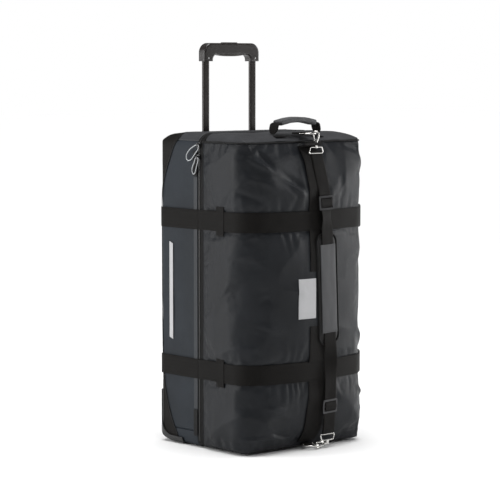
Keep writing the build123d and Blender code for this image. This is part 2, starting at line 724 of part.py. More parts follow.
def tray_and_foot():
    tray = (pocket_room(pocket_wall) - pocket_room(0)) & body(0)
    rim = skin(-1.6, 0) & (pocket_room(9.0) - pocket_room(0))
    holes = both(tube_bar(outer_tube, pocket_floor - 10, pocket_floor + 10))
    save("trolley_tray", tray + rim - holes[0] - holes[1])
    front = tube_y - outer_tube[1] / 2 - 5
    inside = back_y - wall
    foot = block(-tube_x - 20, tube_x + 20, front, inside, tube_foot_z - 12, tube_foot_z + 14) & body(wall)
    sockets = both(tube_bar(outer_tube, tube_foot_z, tube_foot_z + 40))
    screws = [Pos(x, 0, tube_foot_z - 4) * screw(front, inside - front) for x in (-40, 40)]
    save("trolley_foot", foot - sockets[0] - sockets[1] - screws[0] - screws[1])
    save("foot_screws", *screws)
    low, high = tube_foot_z + 30, pocket_floor - pocket_wall - 12
    board_back = inside
    board_low = max(low, well_top + board_clear)
    save("back_board",
         block(-board_width / 2, board_width / 2, board_back - board_thickness, board_back, board_low, high))
    edge = tube_x + 26
    cover = block(-edge, edge, front - 1.5, board_back - board_thickness, low, high)
    save("trolley_cover", cover - block(-edge + 1.5, edge - 1.5, front, far, low - 1, high + 1))


def screw(y, length):
    """Screw along Y from its head's seat at y, with the head in front of it."""
    shank = Pos(0, y + length / 2, 0) * Rot(90, 0, 0) * Cylinder(2.0, length)
    head = Pos(0, y - 1.3, 0) * Rot(90, 0, 0) * Cylinder(4.0, 2.6)
    return shank + head


def grip(tube_top):
    """Bow grip in two shells round the tubes' ends, with a soft insert and a sprung button."""
    half, window = grip_width / 2, grip_width / 2 - grip_leg_width
    bar_low = grip_top - grip_bar_height
    outline = Pos(0, (grip_top + grip_bottom) / 2) * Rectangle(2 * half, grip_leg_height)
    outline = fillet(outline.vertices().sort_by(Axis.Y)[-2:], grip_corner)
    gap = Pos(0, (bar_low + grip_bottom) / 2) * Rectangle(2 * window, bar_low - grip_bottom)
    gap = fillet(gap.vertices().sort_by(Axis.Y)[-2:], grip_window_corner)
    flat = Plane.XZ * (outline - gap)
    bow = Pos(0, tube_y + grip_depth / 2, 0) * extrude(flat, grip_depth)
    long_edges = bow.faces().sort_by(Axis.Y)[0].edges() + bow.faces().sort_by(Axis.Y)[-1].edges()
    bow = fillet(long_edges, 5.0)
    channel_top = tube_top + button_travel + 12
    rod = rod_diameter / 2
    room = block(-tube_x - 8, tube_x + 8, tube_y - rod - 2, tube_y + rod + 2, tube_top, channel_top)
    slot = button_length / 2 + button_play, button_depth / 2 + button_play
    room = room + block(-slot[0], slot[0], tube_y - slot[1], tube_y + slot[1],
                         channel_top - button_travel - button_play, grip_top + 10)
    spring_floor = bar_low + 1.8
    yoke_low = tube_top + button_travel + 0.5
    room = room + Pos(0, tube_y, (spring_floor + yoke_low) / 2) * Cylinder(4.4, yoke_low - spring_floor)
    tubes = both(tube_bar(inner_tube, grip_bottom - 5, tube_top))
    shell = bow - room - tubes[0] - tubes[1]
    screw_z = grip_bottom + 8
    holes = [Pos(side * tube_x, tube_y - grip_depth / 2 + 1.9, screw_z) * Rot(90, 0, 0) * Cylinder(2.6, 4.0)
             for side in (-1, 1)]
    shell = shell - holes[0] - holes[1]
    save("grip_front", shell & block(-far, far, -far, tube_y, 0, far))
    save("grip_back", shell & block(-far, far, tube_y, far, 0, far))
    save("grip_screws", *[Pos(0, 0.6, 0) * hole & block(-far, far, -far, tube_y - grip_depth / 2 + 3.9, 0, far)
                          for hole in holes])
    lens = make_face(Curve() + [
        Line((-insert_length / 2, bar_low), (insert_length / 2, bar_low)),
        ThreePointArc((insert_length / 2, bar_low), (0, bar_low - insert_drop), (-insert_length / 2, bar_low)),
    ])
    soft = Pos(0, tube_y + 9, 0) * extrude(Plane.XZ * lens, 18)
    save("grip_insert", soft)

    cap = block(-button_length / 2, button_length / 2, tube_y - button_depth / 2, tube_y + button_depth / 2,
                channel_top, grip_top + button_proud)
    cap = fillet(cap.edges().filter_by(Axis.Z), 3.0)
    cap = fillet(cap.faces().sort_by(Axis.Z)[-1].edges(), 1.5)
    stem = block(-8, 8, tube_y - rod, tube_y + rod, yoke_low, channel_top + 2)
    save("release_button", cap + stem)
    yoke = block(-tube_x, -8, tube_y - rod, tube_y + rod, yoke_low, yoke_low + 5)
    yoke = yoke + Pos(-tube_x, tube_y, inner_foot + 25) * Cylinder(
        rod, yoke_low - inner_foot - 20, align=(Align.CENTER, Align.CENTER, Align.MIN))
    save("push_rods", yoke, mirror(yoke, about=Plane.YZ))
    spring = Pos(0, tube_y, (spring_floor + yoke_low) / 2) * (
        Cylinder(4.0, yoke_low - spring_floor - 0.1) - Cylinder(2.6, 60))
    save("button_spring", spring)


def wheels():
    axles = []
    for side, name in ((-1, "left"), (1, "right")):
        turn = Pos(side * wheel_x, wheel_y, wheel_radius) * Rot(0, 90, 0)
        rim = wheel_radius - tread_depth
        tyre = Cylinder(wheel_radius, wheel_width)
        tyre = fillet(tyre.edges().filter_by(GeomType.CIRCLE), 5.0) - Cylinder(rim, wheel_width + 2)
        save(f"tyre_{name}", turn * tyre)
        hub = Cylinder(rim, wheel_width - 4) - Cylinder(bearing_radius - 2, wheel_width)
        seat = wheel_width / 2 - 2 - bearing_width / 2
        dish = Cylinder(rim - 4, 6) - Cylinder(bearing_radius + 3, 8)
        for end in (-1, 1):
            hub = hub - Pos(0, 0, end * seat) * Cylinder(bearing_radius, bearing_width)
            hub = hub - Pos(0, 0, end * (wheel_width / 2 - 2)) * dish
        save(f"hub_{name}", turn * hub)
        race = Cylinder(bearing_radius, bearing_width) - Cylinder(axle_radius + axle_play, bearing_width + 2)
        save(f"bearings_{name}", *[turn * Pos(0, 0, end * seat) * race for end in (-1, 1)])
        span = wheel_width + well_gap + 2 * housing_wall
        pin = Cylinder(axle_radius, span)
        heads = [Pos(0, 0, end * (span / 2 + 1)) * Cylinder(axle_radius + 3, 2) for end in (-1, 1)]
        axles.append(turn * (pin + heads[0] + heads[1]))
        housing(side, name)
    save("axles", *axles)


def housing(side, name):
    """Moulded corner cup: a skin over the bag's lower back corner and a well round the wheel."""
    x0, x1 = sorted((side * (half_width - housing_width), side * far))
    corner = block(x0, x1, back_y - housing_reach, far, -far, housing_height)
    cap = skin(-housing_proud, 0) & corner
    rim_line = offset(side_outline(0), amount=-rim_width, kind=Kind.INTERSECTION)
    x0, x1 = sorted((side * (half_width - 1), side * far))
    cap = cap - (extrude(Plane.YZ * rim_line, far, both=True) & block(x0, x1, -far, far, -far, far))
    well = (wheel_block(side, housing_wall) & body(0)) + cap - wheel_block(side, 0)
    bore = Pos(side * wheel_x, wheel_y, wheel_radius) * Rot(0, 90, 0) * Cylinder(axle_radius, wheel_width + 30)
    save(f"wheel_housing_{name}", well - bore)


def back_protection():
    inner = half_width - housing_width - 0.5
    low = block(-inner, inner, back_y - 80, far, -far, housing_height)
    save("kick_plate", skin(-kick_thickness, 0) & low)
    rail = block(-rail_width / 2, rail_width / 2, back_y, back_y + rail_proud, rail_low, rail_high)
    rail = fillet(rail.faces().sort_by(Axis.Y)[-1].edges(), 3.0)
    save("skid_rails", Pos(-tube_x, 0, 0) * rail, Pos(tube_x, 0, 0) * rail)
    feet = []
    for side in (-1, 1):
        x = side * (half_width - 35)
        foot = block(x - foot_width / 2, x + foot_width / 2, zip_y + 12, zip_y + 12 + foot_length, 0, 14)
        foot = fillet(foot.edges().filter_by(Axis.Z), 6.0)
        feet.append(chamfer(foot.faces().sort_by(Axis.Z)[0].edges(), 1.5) - body(0))
    save("stand_feet", *feet)


rear_half()
zip_parts()
straps()
lid()
rings_and_hooks()
carry_handle()
trolley()
wheels()
back_protection()
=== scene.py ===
import json
import math
import bpy
import bmesh
from mathutils import Matrix, Vector, noise
from mathutils.bvhtree import BVHTree


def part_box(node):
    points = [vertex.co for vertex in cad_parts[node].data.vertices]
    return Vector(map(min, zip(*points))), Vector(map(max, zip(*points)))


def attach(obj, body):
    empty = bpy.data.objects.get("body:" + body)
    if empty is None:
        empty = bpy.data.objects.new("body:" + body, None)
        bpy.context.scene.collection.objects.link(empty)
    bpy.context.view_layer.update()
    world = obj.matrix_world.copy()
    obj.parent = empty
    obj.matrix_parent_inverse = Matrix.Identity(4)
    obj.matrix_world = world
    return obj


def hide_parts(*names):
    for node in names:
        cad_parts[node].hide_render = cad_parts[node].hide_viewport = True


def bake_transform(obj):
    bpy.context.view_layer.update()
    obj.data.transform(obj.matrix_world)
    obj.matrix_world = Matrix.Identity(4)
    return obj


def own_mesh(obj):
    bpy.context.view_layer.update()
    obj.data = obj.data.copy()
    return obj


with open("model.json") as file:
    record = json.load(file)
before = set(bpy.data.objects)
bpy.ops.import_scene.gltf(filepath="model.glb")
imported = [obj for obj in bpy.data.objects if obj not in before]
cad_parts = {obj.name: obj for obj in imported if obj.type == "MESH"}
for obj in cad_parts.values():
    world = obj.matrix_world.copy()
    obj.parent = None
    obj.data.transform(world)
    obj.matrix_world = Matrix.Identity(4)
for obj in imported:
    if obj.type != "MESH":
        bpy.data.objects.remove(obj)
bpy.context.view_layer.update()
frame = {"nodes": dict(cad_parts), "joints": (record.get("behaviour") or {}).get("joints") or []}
print("frame loaded:", len(frame["nodes"]), "nodes")

mm = 0.001
jointByName = {joint["name"]: joint for joint in frame["joints"]}
zipY = jointByName["lid_open"]["pos_m"][1]

camera = {"place": (-3.585, -4.094, 0.97), "heading": (0.651, 0.759), "yaw": -0.13, "pitch": -5.0,
          "lens": 153.4}


def makeCamera(spec):
    data = bpy.data.cameras.new("studioCamera")
    data.lens = spec["lens"]
    data.sensor_width = 36
    data.clip_end = 100
    eye = bpy.data.objects.new("studioCamera", data)
    bpy.context.scene.collection.objects.link(eye)
    turn = math.atan2(spec["heading"][1], spec["heading"][0]) + math.radians(spec["yaw"])
    pitch = math.radians(spec["pitch"])
    look = Vector((math.cos(turn) * math.cos(pitch), math.sin(turn) * math.cos(pitch), math.sin(pitch)))
    eye.location = spec["place"]
    eye.rotation_euler = look.to_track_quat("-Z", "Y").to_euler()
    bpy.context.scene.camera = eye


makeCamera(camera)
print("camera ready")


class Wire:
    # one output of a node tree, used in plain arithmetic
    def __init__(self, tree, socket=None):
        self.tree = tree
        self.socket = socket

    def node(self, kind, out=0, settings=None, **sockets):
        made = self.tree.nodes.new("ShaderNode" + kind)
        for key, value in (settings or {}).items():
            if key == "stops":
                ramp = made.color_ramp.elements
                while len(ramp) < len(value):
                    ramp.new(1.0)
                for stop, (place, shade) in zip(ramp, value):
                    stop.position = place
                    stop.color = (shade, shade, shade, 1)
            else:
                setattr(made, key, value)
        for key, value in sockets.items():
            target = made.inputs[int(key[1:])] if key[0] == "i" and key[1:].isdigit() else made.inputs[key]
            if isinstance(value, Wire):
                self.tree.links.new(value.socket, target)
            else:
                target.default_value = value
        return Wire(self.tree, made.outputs[out])

    def calc(self, operation, first, second=0.0):
        return self.node("Math", settings={"operation": operation}, i0=first, i1=second)

    def __add__(self, other):
        return self.calc("ADD", self, other)

    def __radd__(self, other):
        return self.calc("ADD", other, self)

    def __sub__(self, other):
        return self.calc("SUBTRACT", self, other)

    def __rsub__(self, other):
        return self.calc("SUBTRACT", other, self)

    def __mul__(self, other):
        return self.calc("MULTIPLY", self, other)

    def __rmul__(self, other):
        return self.calc("MULTIPLY", other, self)

    def wave(self, pitch):
        return self.calc("SINE", self * (2 * math.pi / pitch))

    def above(self, low, high):
        # 0 below low, 1 above high
        return self.node("MapRange", settings={"interpolation_type": "SMOOTHSTEP"}, i0=self, i1=low, i2=high)

    def tint(self, first, second):
        # colour between two, by this value
        made = self.tree.nodes.new("ShaderNodeMix")
        made.data_type = "RGBA"
        self.tree.links.new(self.socket, made.inputs[0])
        for place, value in ((6, first), (7, second)):
            if isinstance(value, Wire):
                self.tree.links.new(value.socket, made.inputs[place])
            else:
                made.inputs[place].default_value = (*value, 1)
        return Wire(self.tree, made.outputs[2])


def startMaterial(name, **constants):
    material = bpy.data.materials.new(name)
    material.use_nodes = True
    shader = material.node_tree.nodes["Principled BSDF"]
    for key, value in constants.items():
        shader.inputs[key.replace("_", " ")].default_value = value
    return material, Wire(material.node_tree), shader


def feed(wire, shader, socket):
    wire.tree.links.new(wire.socket, shader.inputs[socket])


def coordinates(wire, fromUv):
    # X, Y and Z in metres: along, across and nothing on a strip's own UV map
    place = wire.node("TexCoord", out=2 if fromUv else 3)
    split = place.node("SeparateXYZ", i0=place)
    outputs = split.socket.node.outputs
    return place, Wire(wire.tree, outputs[0]), Wire(wire.tree, outputs[1]), Wire(wire.tree, outputs[2])


def speckle(place, scale, detail=3.0, rough=0.55):
    return place.node("TexNoise", i0=place, Scale=scale, Detail=detail, Roughness=rough)


def clothMaterial(name, colour, fromUv=True, top=False, thread=1.1 * mm, rip=5.0 * mm, ripShade=0.25,
                  gloss=0.48, sheen=0.03, depth=0.35, grime=0.12, mirror=0.22):
    # woven cloth with thicker rip-stop threads, worn a little lighter where it is rubbed
    material, wire, shader = startMaterial(name, Sheen_Weight=sheen, Sheen_Roughness=0.4,
                                           Specular_IOR_Level=mirror)
    place, x, y, z = coordinates(wire, fromUv)
    across, along = (x, y) if (fromUv or top) else (x + y, z)
    weave = across.wave(thread) * along.wave(thread)
    lines = (across.wave(rip).above(0.93, 1.0) + along.wave(rip).above(0.93, 1.0)) * 0.5
    clouds = speckle(place, 9.0, 4.0)
    fine = speckle(place, 420.0, 2.0)
    dark = tuple(c * (1 - 1.6 * grime) for c in colour)
    pale = tuple(min(c * (1 + 1.6 * grime), 1) for c in colour)
    base = clouds.above(0.3, 0.7).tint(dark, pale)
    bright = tuple(min(c * (1 + ripShade) + 0.01 * ripShade, 1) for c in colour)
    shade = (lines * 0.7 + weave * 0.12 + (fine - 0.5) * 0.3).above(0.0, 1.0)
    feed(shade.tint(base, bright), shader, "Base Color")
    feed(gloss + (clouds - 0.5) * 0.25 + (fine - 0.5) * 0.12, shader, "Roughness")
    height = weave * 0.35 + lines * 0.8 + (fine - 0.5) * 0.4
    feed(wire.node("Bump", Strength=depth, Distance=0.0004, Height=height), shader, "Normal")
    return material


def webMaterial(name, colour, fromUv=True, gloss=0.55):
    # webbing: fine ribs across and a herringbone along
    material, wire, shader = startMaterial(name, Sheen_Weight=0.01, Sheen_Roughness=0.5,
                                           Specular_IOR_Level=0.07)
    place, x, y, z = coordinates(wire, fromUv)
    along, across = (x, y) if fromUv else (x + y, z)
    chevron = (across.wave(9.0 * mm) * 1.2 * mm + along).wave(2.2 * mm)
    ribs = across.wave(1.6 * mm)
    clouds = speckle(place, 22.0, 4.0)
    fine = speckle(place, 600.0, 2.0)
    shade = (chevron * 0.22 + ribs * 0.16 + (fine - 0.5) * 0.5 + 0.4).above(0.0, 1.0)
    dark = tuple(c * 0.6 for c in colour)
    pale = tuple(min(c * 1.5, 1) for c in colour)
    feed(shade.tint(dark, clouds.above(0.3, 0.75).tint(colour, pale)), shader, "Base Color")
    feed(gloss + (clouds - 0.5) * 0.2 + chevron * 0.04, shader, "Roughness")
    feed(wire.node("Bump", Strength=0.5, Distance=0.0004, Height=chevron * 0.5 + ribs * 0.5 + fine * 0.3),
         shader, "Normal")
    return material


def plasticMaterial(name, colour, gloss=0.42, grain=900.0, scuff=0.5, coat=0.0):
    material, wire, shader = startMaterial(name, Specular_IOR_Level=0.35, Coat_Roughness=0.25)
    place, x, y, z = coordinates(wire, False)
    clouds = speckle(place, 14.0, 5.0, 0.65)
    fine = speckle(place, grain, 2.0)
    scuffs = speckle(place, 75.0, 6.0, 0.7).above(0.58, 0.8) * scuff
    pale = tuple(min(c * 1.7 + 0.012, 1) for c in colour)
    feed((scuffs * 0.6 + clouds.above(0.35, 0.8) * 0.2).tint(colour, pale), shader, "Base Color")
    feed(gloss + (clouds - 0.5) * 0.16 + scuffs * 0.14, shader, "Roughness")
    if coat:
        feed(coat - scuffs * coat * 0.5, shader, "Coat Weight")
    feed(wire.node("Bump", Strength=0.25, Distance=0.0003, Height=fine + clouds * 0.5), shader, "Normal")
    return material


def metalMaterial(name, colour, gloss, streak=0.1, metallic=1.0, long=False, coat=0.0):
    material, wire, shader = startMaterial(name, Metallic=metallic, Coat_Roughness=0.12)
    place, x, y, z = coordinates(wire, False)
    stretched = place.node("Mapping", Vector=place, Scale=(1.0, 1.0, 0.03) if long else (1.0, 1.0, 1.0))
    hair = speckle(stretched, 900.0 if long else 260.0, 3.0)
    clouds = speckle(place, 40.0, 4.0)
    pale = tuple(min(c * 1.25 + 0.01, 1) for c in colour)
    feed((clouds * 0.6 + hair * 0.4).above(0.3, 0.8).tint(colour, pale), shader, "Base Color")
    feed(gloss + (hair - 0.5) * streak + (clouds - 0.5) * 0.1, shader, "Roughness")
    if coat:
        feed(coat - (clouds - 0.5) * 0.1, shader, "Coat Weight")
    feed(wire.node("Bump", Strength=0.08, Distance=0.0002, Height=hair), shader, "Normal")
    return material


shell = {"panel": (0.0200, 0.0238, 0.0290), "front": (0.0122, 0.0134, 0.0156),
         "tub": (0.0080, 0.0072, 0.0066)}
panelCloth = clothMaterial("panelCloth", shell["panel"], fromUv=False, gloss=0.52, sheen=0.0, mirror=0.10)
# the top panels' cloth is painted lighter than the front's cloth: painted light, standing for the light
# falling on the top from above
topClothPaintedLight = clothMaterial("topClothPaintedLight", (0.036, 0.037, 0.040), fromUv=False, top=True, gloss=0.45, sheen=0.01,
                         mirror=0.15)
frontCloth = clothMaterial("frontCloth", shell["front"], gloss=0.36, sheen=0.0, mirror=0.13)
tubCloth = clothMaterial("tubCloth", shell["tub"], fromUv=False, thread=1.6 * mm, rip=1.6 * mm, ripShade=0.1,
                         gloss=0.5, sheen=0.0, depth=0.5, mirror=0.08)
liningCloth = clothMaterial("liningCloth", (0.10, 0.10, 0.105), fromUv=False, rip=10 * mm, ripShade=0.5,
                            gloss=0.6)
flapCloth = clothMaterial("flapCloth", (0.024, 0.027, 0.031), fromUv=False, gloss=0.5)
padCloth = clothMaterial("padCloth", (0.014, 0.0135, 0.0135), fromUv=False, thread=2.2 * mm, rip=4.4 * mm,
                         depth=0.6)
sleeveCloth = clothMaterial("sleeveCloth", (0.062, 0.063, 0.066), fromUv=False, gloss=0.55, grime=0.06)
bindingCloth = clothMaterial("bindingCloth", (0.005, 0.005, 0.005), fromUv=False, gloss=0.5, grime=0.2,
                             mirror=0.12)
tapeCloth = clothMaterial("tapeCloth", (0.005, 0.005, 0.005), fromUv=False, thread=1.4 * mm, rip=1.4 * mm,
                          gloss=0.6, mirror=0.1)
strapWeb = webMaterial("strapWeb", (0.0078, 0.0070, 0.0064))
strapWebCad = webMaterial("strapWebCad", (0.0078, 0.0070, 0.0064), fromUv=False)
threadCord = clothMaterial("threadCord", (0.03, 0.03, 0.031), fromUv=False, thread=0.6 * mm, rip=1.2 * mm)
pullCord = clothMaterial("pullCord", (0.36, 0.37, 0.38), fromUv=False, thread=1.0 * mm, rip=2.0 * mm,
                         gloss=0.6)
reflective = clothMaterial("reflective", (0.42, 0.42, 0.43), fromUv=False, thread=0.8 * mm, rip=2.4 * mm,
                           ripShade=0.1, gloss=0.4, grime=0.05)
blackPlastic = plasticMaterial("blackPlastic", (0.012, 0.012, 0.012))
bucklePlastic = plasticMaterial("bucklePlastic", (0.010, 0.010, 0.010), gloss=0.35, scuff=0.25)
gripPlastic = plasticMaterial("gripPlastic", (0.016, 0.013, 0.012), gloss=0.3, scuff=0.15, coat=0.15)
softRubber = plasticMaterial("softRubber", (0.030, 0.024, 0.021), gloss=0.6, grain=300.0, scuff=0.2)
sheetPlastic = plasticMaterial("sheetPlastic", (0.06, 0.06, 0.062), gloss=0.5)
wheelRubber = plasticMaterial("wheelRubber", (0.018, 0.018, 0.018), gloss=0.62, grain=500.0, scuff=0.8)
hubPlastic = plasticMaterial("hubPlastic", (0.03, 0.03, 0.032), gloss=0.35)
tubeMetal = metalMaterial("tubeMetal", (0.022, 0.018, 0.016), 0.22, streak=0.03, metallic=0.4, long=True)
brightMetal = metalMaterial("brightMetal", (0.60, 0.59, 0.57), 0.16, streak=0.08)
darkMetal = metalMaterial("darkMetal", (0.045, 0.045, 0.047), 0.30, metallic=0.8)
steelMetal = metalMaterial("steelMetal", (0.45, 0.45, 0.45), 0.3)
print("materials ready")


cords = {"diameter": 2.4, "upperEye": (-204.967, 767.381), "lowerEye": (-206.15, 736.0)}
upperRoute = [(0, 2.1, 0), (-0.5, 6.5, -0.5), (-1.0, 17, -5), (-1.8, 32, -14), (-2.0, 43, -27),
              (-1.6, 41, -39), (-1.0, 30, -41), (-0.6, 18, -32), (-0.8, 7, -20), (-1.0, -3, -12),
              (-0.6, -5.5, -3), (0, -2.1, 0)]
lowerRoute = [(0, 2.1, 0), (-0.4, 6.5, -1.2), (-0.8, 10.5, -12), (-0.4, 19, -25), (0.6, 21.5, -36),
              (0.8, 15.5, -43.5), (0.6, 8, -38), (-0.2, 4, -26), (-0.8, -1.5, -15), (-0.6, -5.5, -4),
              (0, -2.1, 0)]


def makeCord(name, eye, route, body, node):
    points = [Vector(((eye[0] + x) * mm, zipY + y * mm, (eye[1] + z) * mm)) for x, y, z in route]
    curve = bpy.data.curves.new(name, "CURVE")
    curve.dimensions = "3D"
    curve.bevel_depth = cords["diameter"] * mm / 2
    curve.bevel_resolution = 3
    curve.resolution_u = 10
    curve.use_fill_caps = True
    spline = curve.splines.new("NURBS")
    spline.points.add(len(points) - 1)
    for knot, point in zip(spline.points, points):
        knot.co = (*point, 1)
    spline.order_u = 3
    spline.use_endpoint_u = True
    curve.materials.append(pullCord)
    cord = bpy.data.objects.new(name, curve)
    bpy.context.scene.collection.objects.link(cord)
    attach(cord, body)
    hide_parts(node)


makeCord("zipPullUpper", cords["upperEye"], upperRoute, "zip_upper", "zip_cord_upper")
makeCord("zipPullLower", cords["lowerEye"], lowerRoute, "zip_lower", "zip_cord_lower")
print("cords ready")


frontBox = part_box("front_panel")
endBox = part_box("front_end_panels")
bag = {"half": frontBox[1].x, "face": frontBox[0].y, "corner": 0.060, "frontRadius": 0.600,
       "seamLow": 7 * mm, "seamHigh": frontBox[1].z, "top": endBox[1].z,
       "hem": (0.020, 0.0214), "frontHem": (-0.1242, 0.0256, 0.024), "tapeFront": 0.016,
       "lean": (0.640, 0.043 / 0.139), "tuck": (0.160, 0.039 / 0.1586)}


def smoothMax(a, b, soft):
    reach = max(soft - abs(a - b), 0.0) / soft
    return max(a, b) + reach * reach * soft / 4


def wrapLengths():
    centreX = bag["half"] - bag["corner"]
    bulgeY = bag["face"] + bag["frontRadius"]
    cornerY = bulgeY - math.sqrt((bag["frontRadius"] - bag["corner"]) ** 2 - centreX ** 2)
    sweep = math.atan2(centreX, bulgeY - cornerY)
    start = zipY - bag["tapeFront"]
    finish = zipY - 0.4 * mm
    runs = [start - cornerY, bag["corner"] * (math.pi / 2 - sweep), bag["frontRadius"] * 2 * sweep,
            bag["corner"] * (math.pi / 2 - sweep), finish - cornerY]
    return centreX, cornerY, bulgeY, sweep, start, runs


centreX, cornerY, bulgeY, frontSweep, wrapStart, wrapRuns = wrapLengths()
wrapTotal = sum(wrapRuns)


def wrapPoint(s):
    # outline of the front half seen from above: place and outward normal at a distance round it
    if s < wrapRuns[0]:
        return Vector((-bag["half"], wrapStart - s, 0)), Vector((-1, 0, 0))
    s -= wrapRuns[0]
    if s < wrapRuns[1]:
        angle = math.pi + s / bag["corner"]
        out = Vector((math.cos(angle), math.sin(angle), 0))
        return Vector((-centreX, cornerY, 0)) + out * bag["corner"], out
    s -= wrapRuns[1]
    if s < wrapRuns[2]:
        angle = -math.pi / 2 - frontSweep + s / bag["frontRadius"]
        out = Vector((math.cos(angle), math.sin(angle), 0))
        return Vector((0, bulgeY, 0)) + out * bag["frontRadius"], out
    s -= wrapRuns[2]
    if s < wrapRuns[3]:
        angle = -math.pi / 2 + frontSweep + s / bag["corner"]
        out = Vector((math.cos(angle), math.sin(angle), 0))
        return Vector((centreX, cornerY, 0)) + out * bag["corner"], out
    s -= wrapRuns[3]
    return Vector((bag["half"], cornerY + s, 0)), Vector((1, 0, 0))


def frontLimit(z):
    high, highSlope = bag["lean"]
    low, lowSlope = bag["tuck"]
    y = smoothMax(bag["face"], bag["face"] + (z - high) * highSlope, 7 * mm)
    return smoothMax(y, bag["face"] + (low - z) * lowSlope, 7 * mm)


def hemLimits(z):
    # half width and front limit where the sheet turns under at the hem
    hem, corner = bag["hem"], bag["frontHem"]
    half = bag["half"]
    if z < hem[1]:
        half = bag["half"] - hem[0] + math.sqrt(max(hem[0] ** 2 - (hem[1] - z) ** 2, 0.0))
    y = -1.0
    if z < corner[1]:
        y = corner[0] - math.sqrt(max(corner[2] ** 2 - (corner[1] - z) ** 2, 0.0))
    return half, y


def formPoint(s, z, lift=0.0):
    # a point of the smooth front form, lifted along its level normal
    place, out = wrapPoint(s)
    half, hemY = hemLimits(z)
    y = smoothMax(place.y, max(frontLimit(z), hemY), 3 * mm)
    place = Vector((max(-half, min(half, place.x)), y, z))
    return place + out * lift


def linkPiece(name, mesh, body, materials, smooth=True):
    piece = bpy.data.objects.new(name, mesh)
    bpy.context.scene.collection.objects.link(piece)
    mesh.materials.clear()
    for material in materials:
        mesh.materials.append(material)
    if smooth:
        mesh.polygons.foreach_set("use_smooth", [True] * len(mesh.polygons))
    if body:
        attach(piece, body)
    return piece


def meshOf(name, bm):
    mesh = bpy.data.meshes.new(name)
    bm.to_mesh(mesh)
    bm.free()
    return mesh


def settle(piece):
    # applies a piece's modifiers to its mesh
    mesh = bpy.data.meshes.new_from_object(piece.evaluated_get(bpy.context.evaluated_depsgraph_get()))
    piece.modifiers.clear()
    piece.data = mesh


def gridSheet(columns, rows, size, place):
    # a grid with its UV map in metres, put where place(u, v) says
    bm = bmesh.new()
    bmesh.ops.create_grid(bm, x_segments=columns, y_segments=rows, size=1.0)
    uvLayer = bm.loops.layers.uv.new("UVMap")
    for face in bm.faces:
        for loop in face.loops:
            loop[uvLayer].uv = ((loop.vert.co.x + 1) / 2 * size[0], (loop.vert.co.y + 1) / 2 * size[1])
    for vert in bm.verts:
        vert.co = place((vert.co.x + 1) / 2, (vert.co.y + 1) / 2)
    bm.normal_update()
    return bm


def thicken(piece, thickness, offset=-1.0, innerMaterial=0, bevel=0.0):
    modifier = piece.modifiers.new("thickness", "SOLIDIFY")
    modifier.thickness = thickness
    modifier.offset = offset
    modifier.use_even_offset = False
    modifier.material_offset = innerMaterial
    if bevel:
        edge = piece.modifiers.new("edge", "BEVEL")
        edge.width = bevel
        edge.segments = 2
        edge.limit_method = "ANGLE"
        edge.angle_limit = math.radians(50)
    return piece


strapHeights = (0.202, 0.580)
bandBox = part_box("centre_band")
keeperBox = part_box("strap_keepers")
keeperPlace = wrapStart - (keeperBox[0].y + keeperBox[1].y) / 2
bandPlace = {"s": wrapRuns[0] + wrapRuns[1] + wrapRuns[2] / 2 + (bandBox[0].x + bandBox[1].x) / 2,
             "half": (bandBox[1].x - bandBox[0].x) / 2}
lidSheet = {"cell": 4.6 * mm, "thickness": 2.4 * mm, "strapHalf": 0.0255,
            "bulge": 5.0 * mm, "pucker": 2.2 * mm, "crease": 2.6 * mm, "growth": -0.035, "frames": 18,
            "cap": 8 * mm, "share": 0.5}


def strapGap(z):
    # distance from the nearer strap's edge, and 0 beneath it
    return min(max(abs(z - height) - lidSheet["strapHalf"], 0.0) for height in strapHeights)


def bandFree(s):
    # 0 beneath the centre band, 1 well clear of it
    gap = max(abs(s - bandPlace["s"]) - bandPlace["half"], 0.0)
    return min(1.0, gap / 0.020) ** 2


def calm(s, z):
    # less gathering under the keepers and on the far side of the centre band
    far = min(max((s - bandPlace["s"]) / 0.05, 0.0), 1.0)
    keeper = min(max(abs(s - keeperPlace) - 0.018, 0.0) / 0.015, 1.0)
    return (1 - 0.75 * far) * (0.1 + 0.9 * keeper if strapGap(z) < 0.016 else 1.0)


def ridge(point):
    return 1 - abs(noise.noise(point)) * 2


def foldLine(s, z, start, end, width, depth):
    # one long fold between two places on the sheet
    run = Vector(end) - Vector(start)
    away = Vector((s, z)) - Vector(start)
    share = max(0.0, min(1.0, away.dot(run) / run.length_squared))
    gap = (away - run * share).length
    return depth * math.exp(-(gap / width) ** 2) * math.sin(math.pi * min(max(share, 0.04), 0.96))


cornerFolds = [
    ((0.150, 0.745), (0.285, 0.675), 8 * mm, 9.0 * mm), ((0.185, 0.760), (0.235, 0.700), 8 * mm, -7.0 * mm),
    ((0.205, 0.715), (0.330, 0.655), 9 * mm, -8.0 * mm), ((0.140, 0.700), (0.300, 0.640), 9 * mm, 5.0 * mm),
    ((0.250, 0.690), (0.345, 0.625), 6 * mm, 6.5 * mm), ((0.120, 0.660), (0.210, 0.625), 7 * mm, -3.5 * mm),
    ((0.175, 0.690), (0.205, 0.615), 6 * mm, 3.5 * mm), ((0.330, 0.700), (0.420, 0.690), 7 * mm, 2.5 * mm),
    ((0.190, 0.122), (0.270, 0.110), 4 * mm, 5.0 * mm), ((0.215, 0.098), (0.285, 0.094), 3.5 * mm, 4.0 * mm),
    ((0.130, 0.040), (0.255, 0.047), 4.5 * mm, 6.5 * mm),
    ((0.215, 0.058), (0.300, 0.038), 5 * mm, -5.5 * mm),
    ((0.180, 0.330), (0.260, 0.300), 8 * mm, 2.5 * mm), ((0.520, 0.300), (0.560, 0.240), 6 * mm, 4.0 * mm),
    ((0.515, 0.150), (0.570, 0.110), 6 * mm, 4.0 * mm), ((0.540, 0.090), (0.600, 0.060), 7 * mm, 4.5 * mm),
    ((0.525, 0.740), (0.570, 0.680), 7 * mm, 3.0 * mm),
]


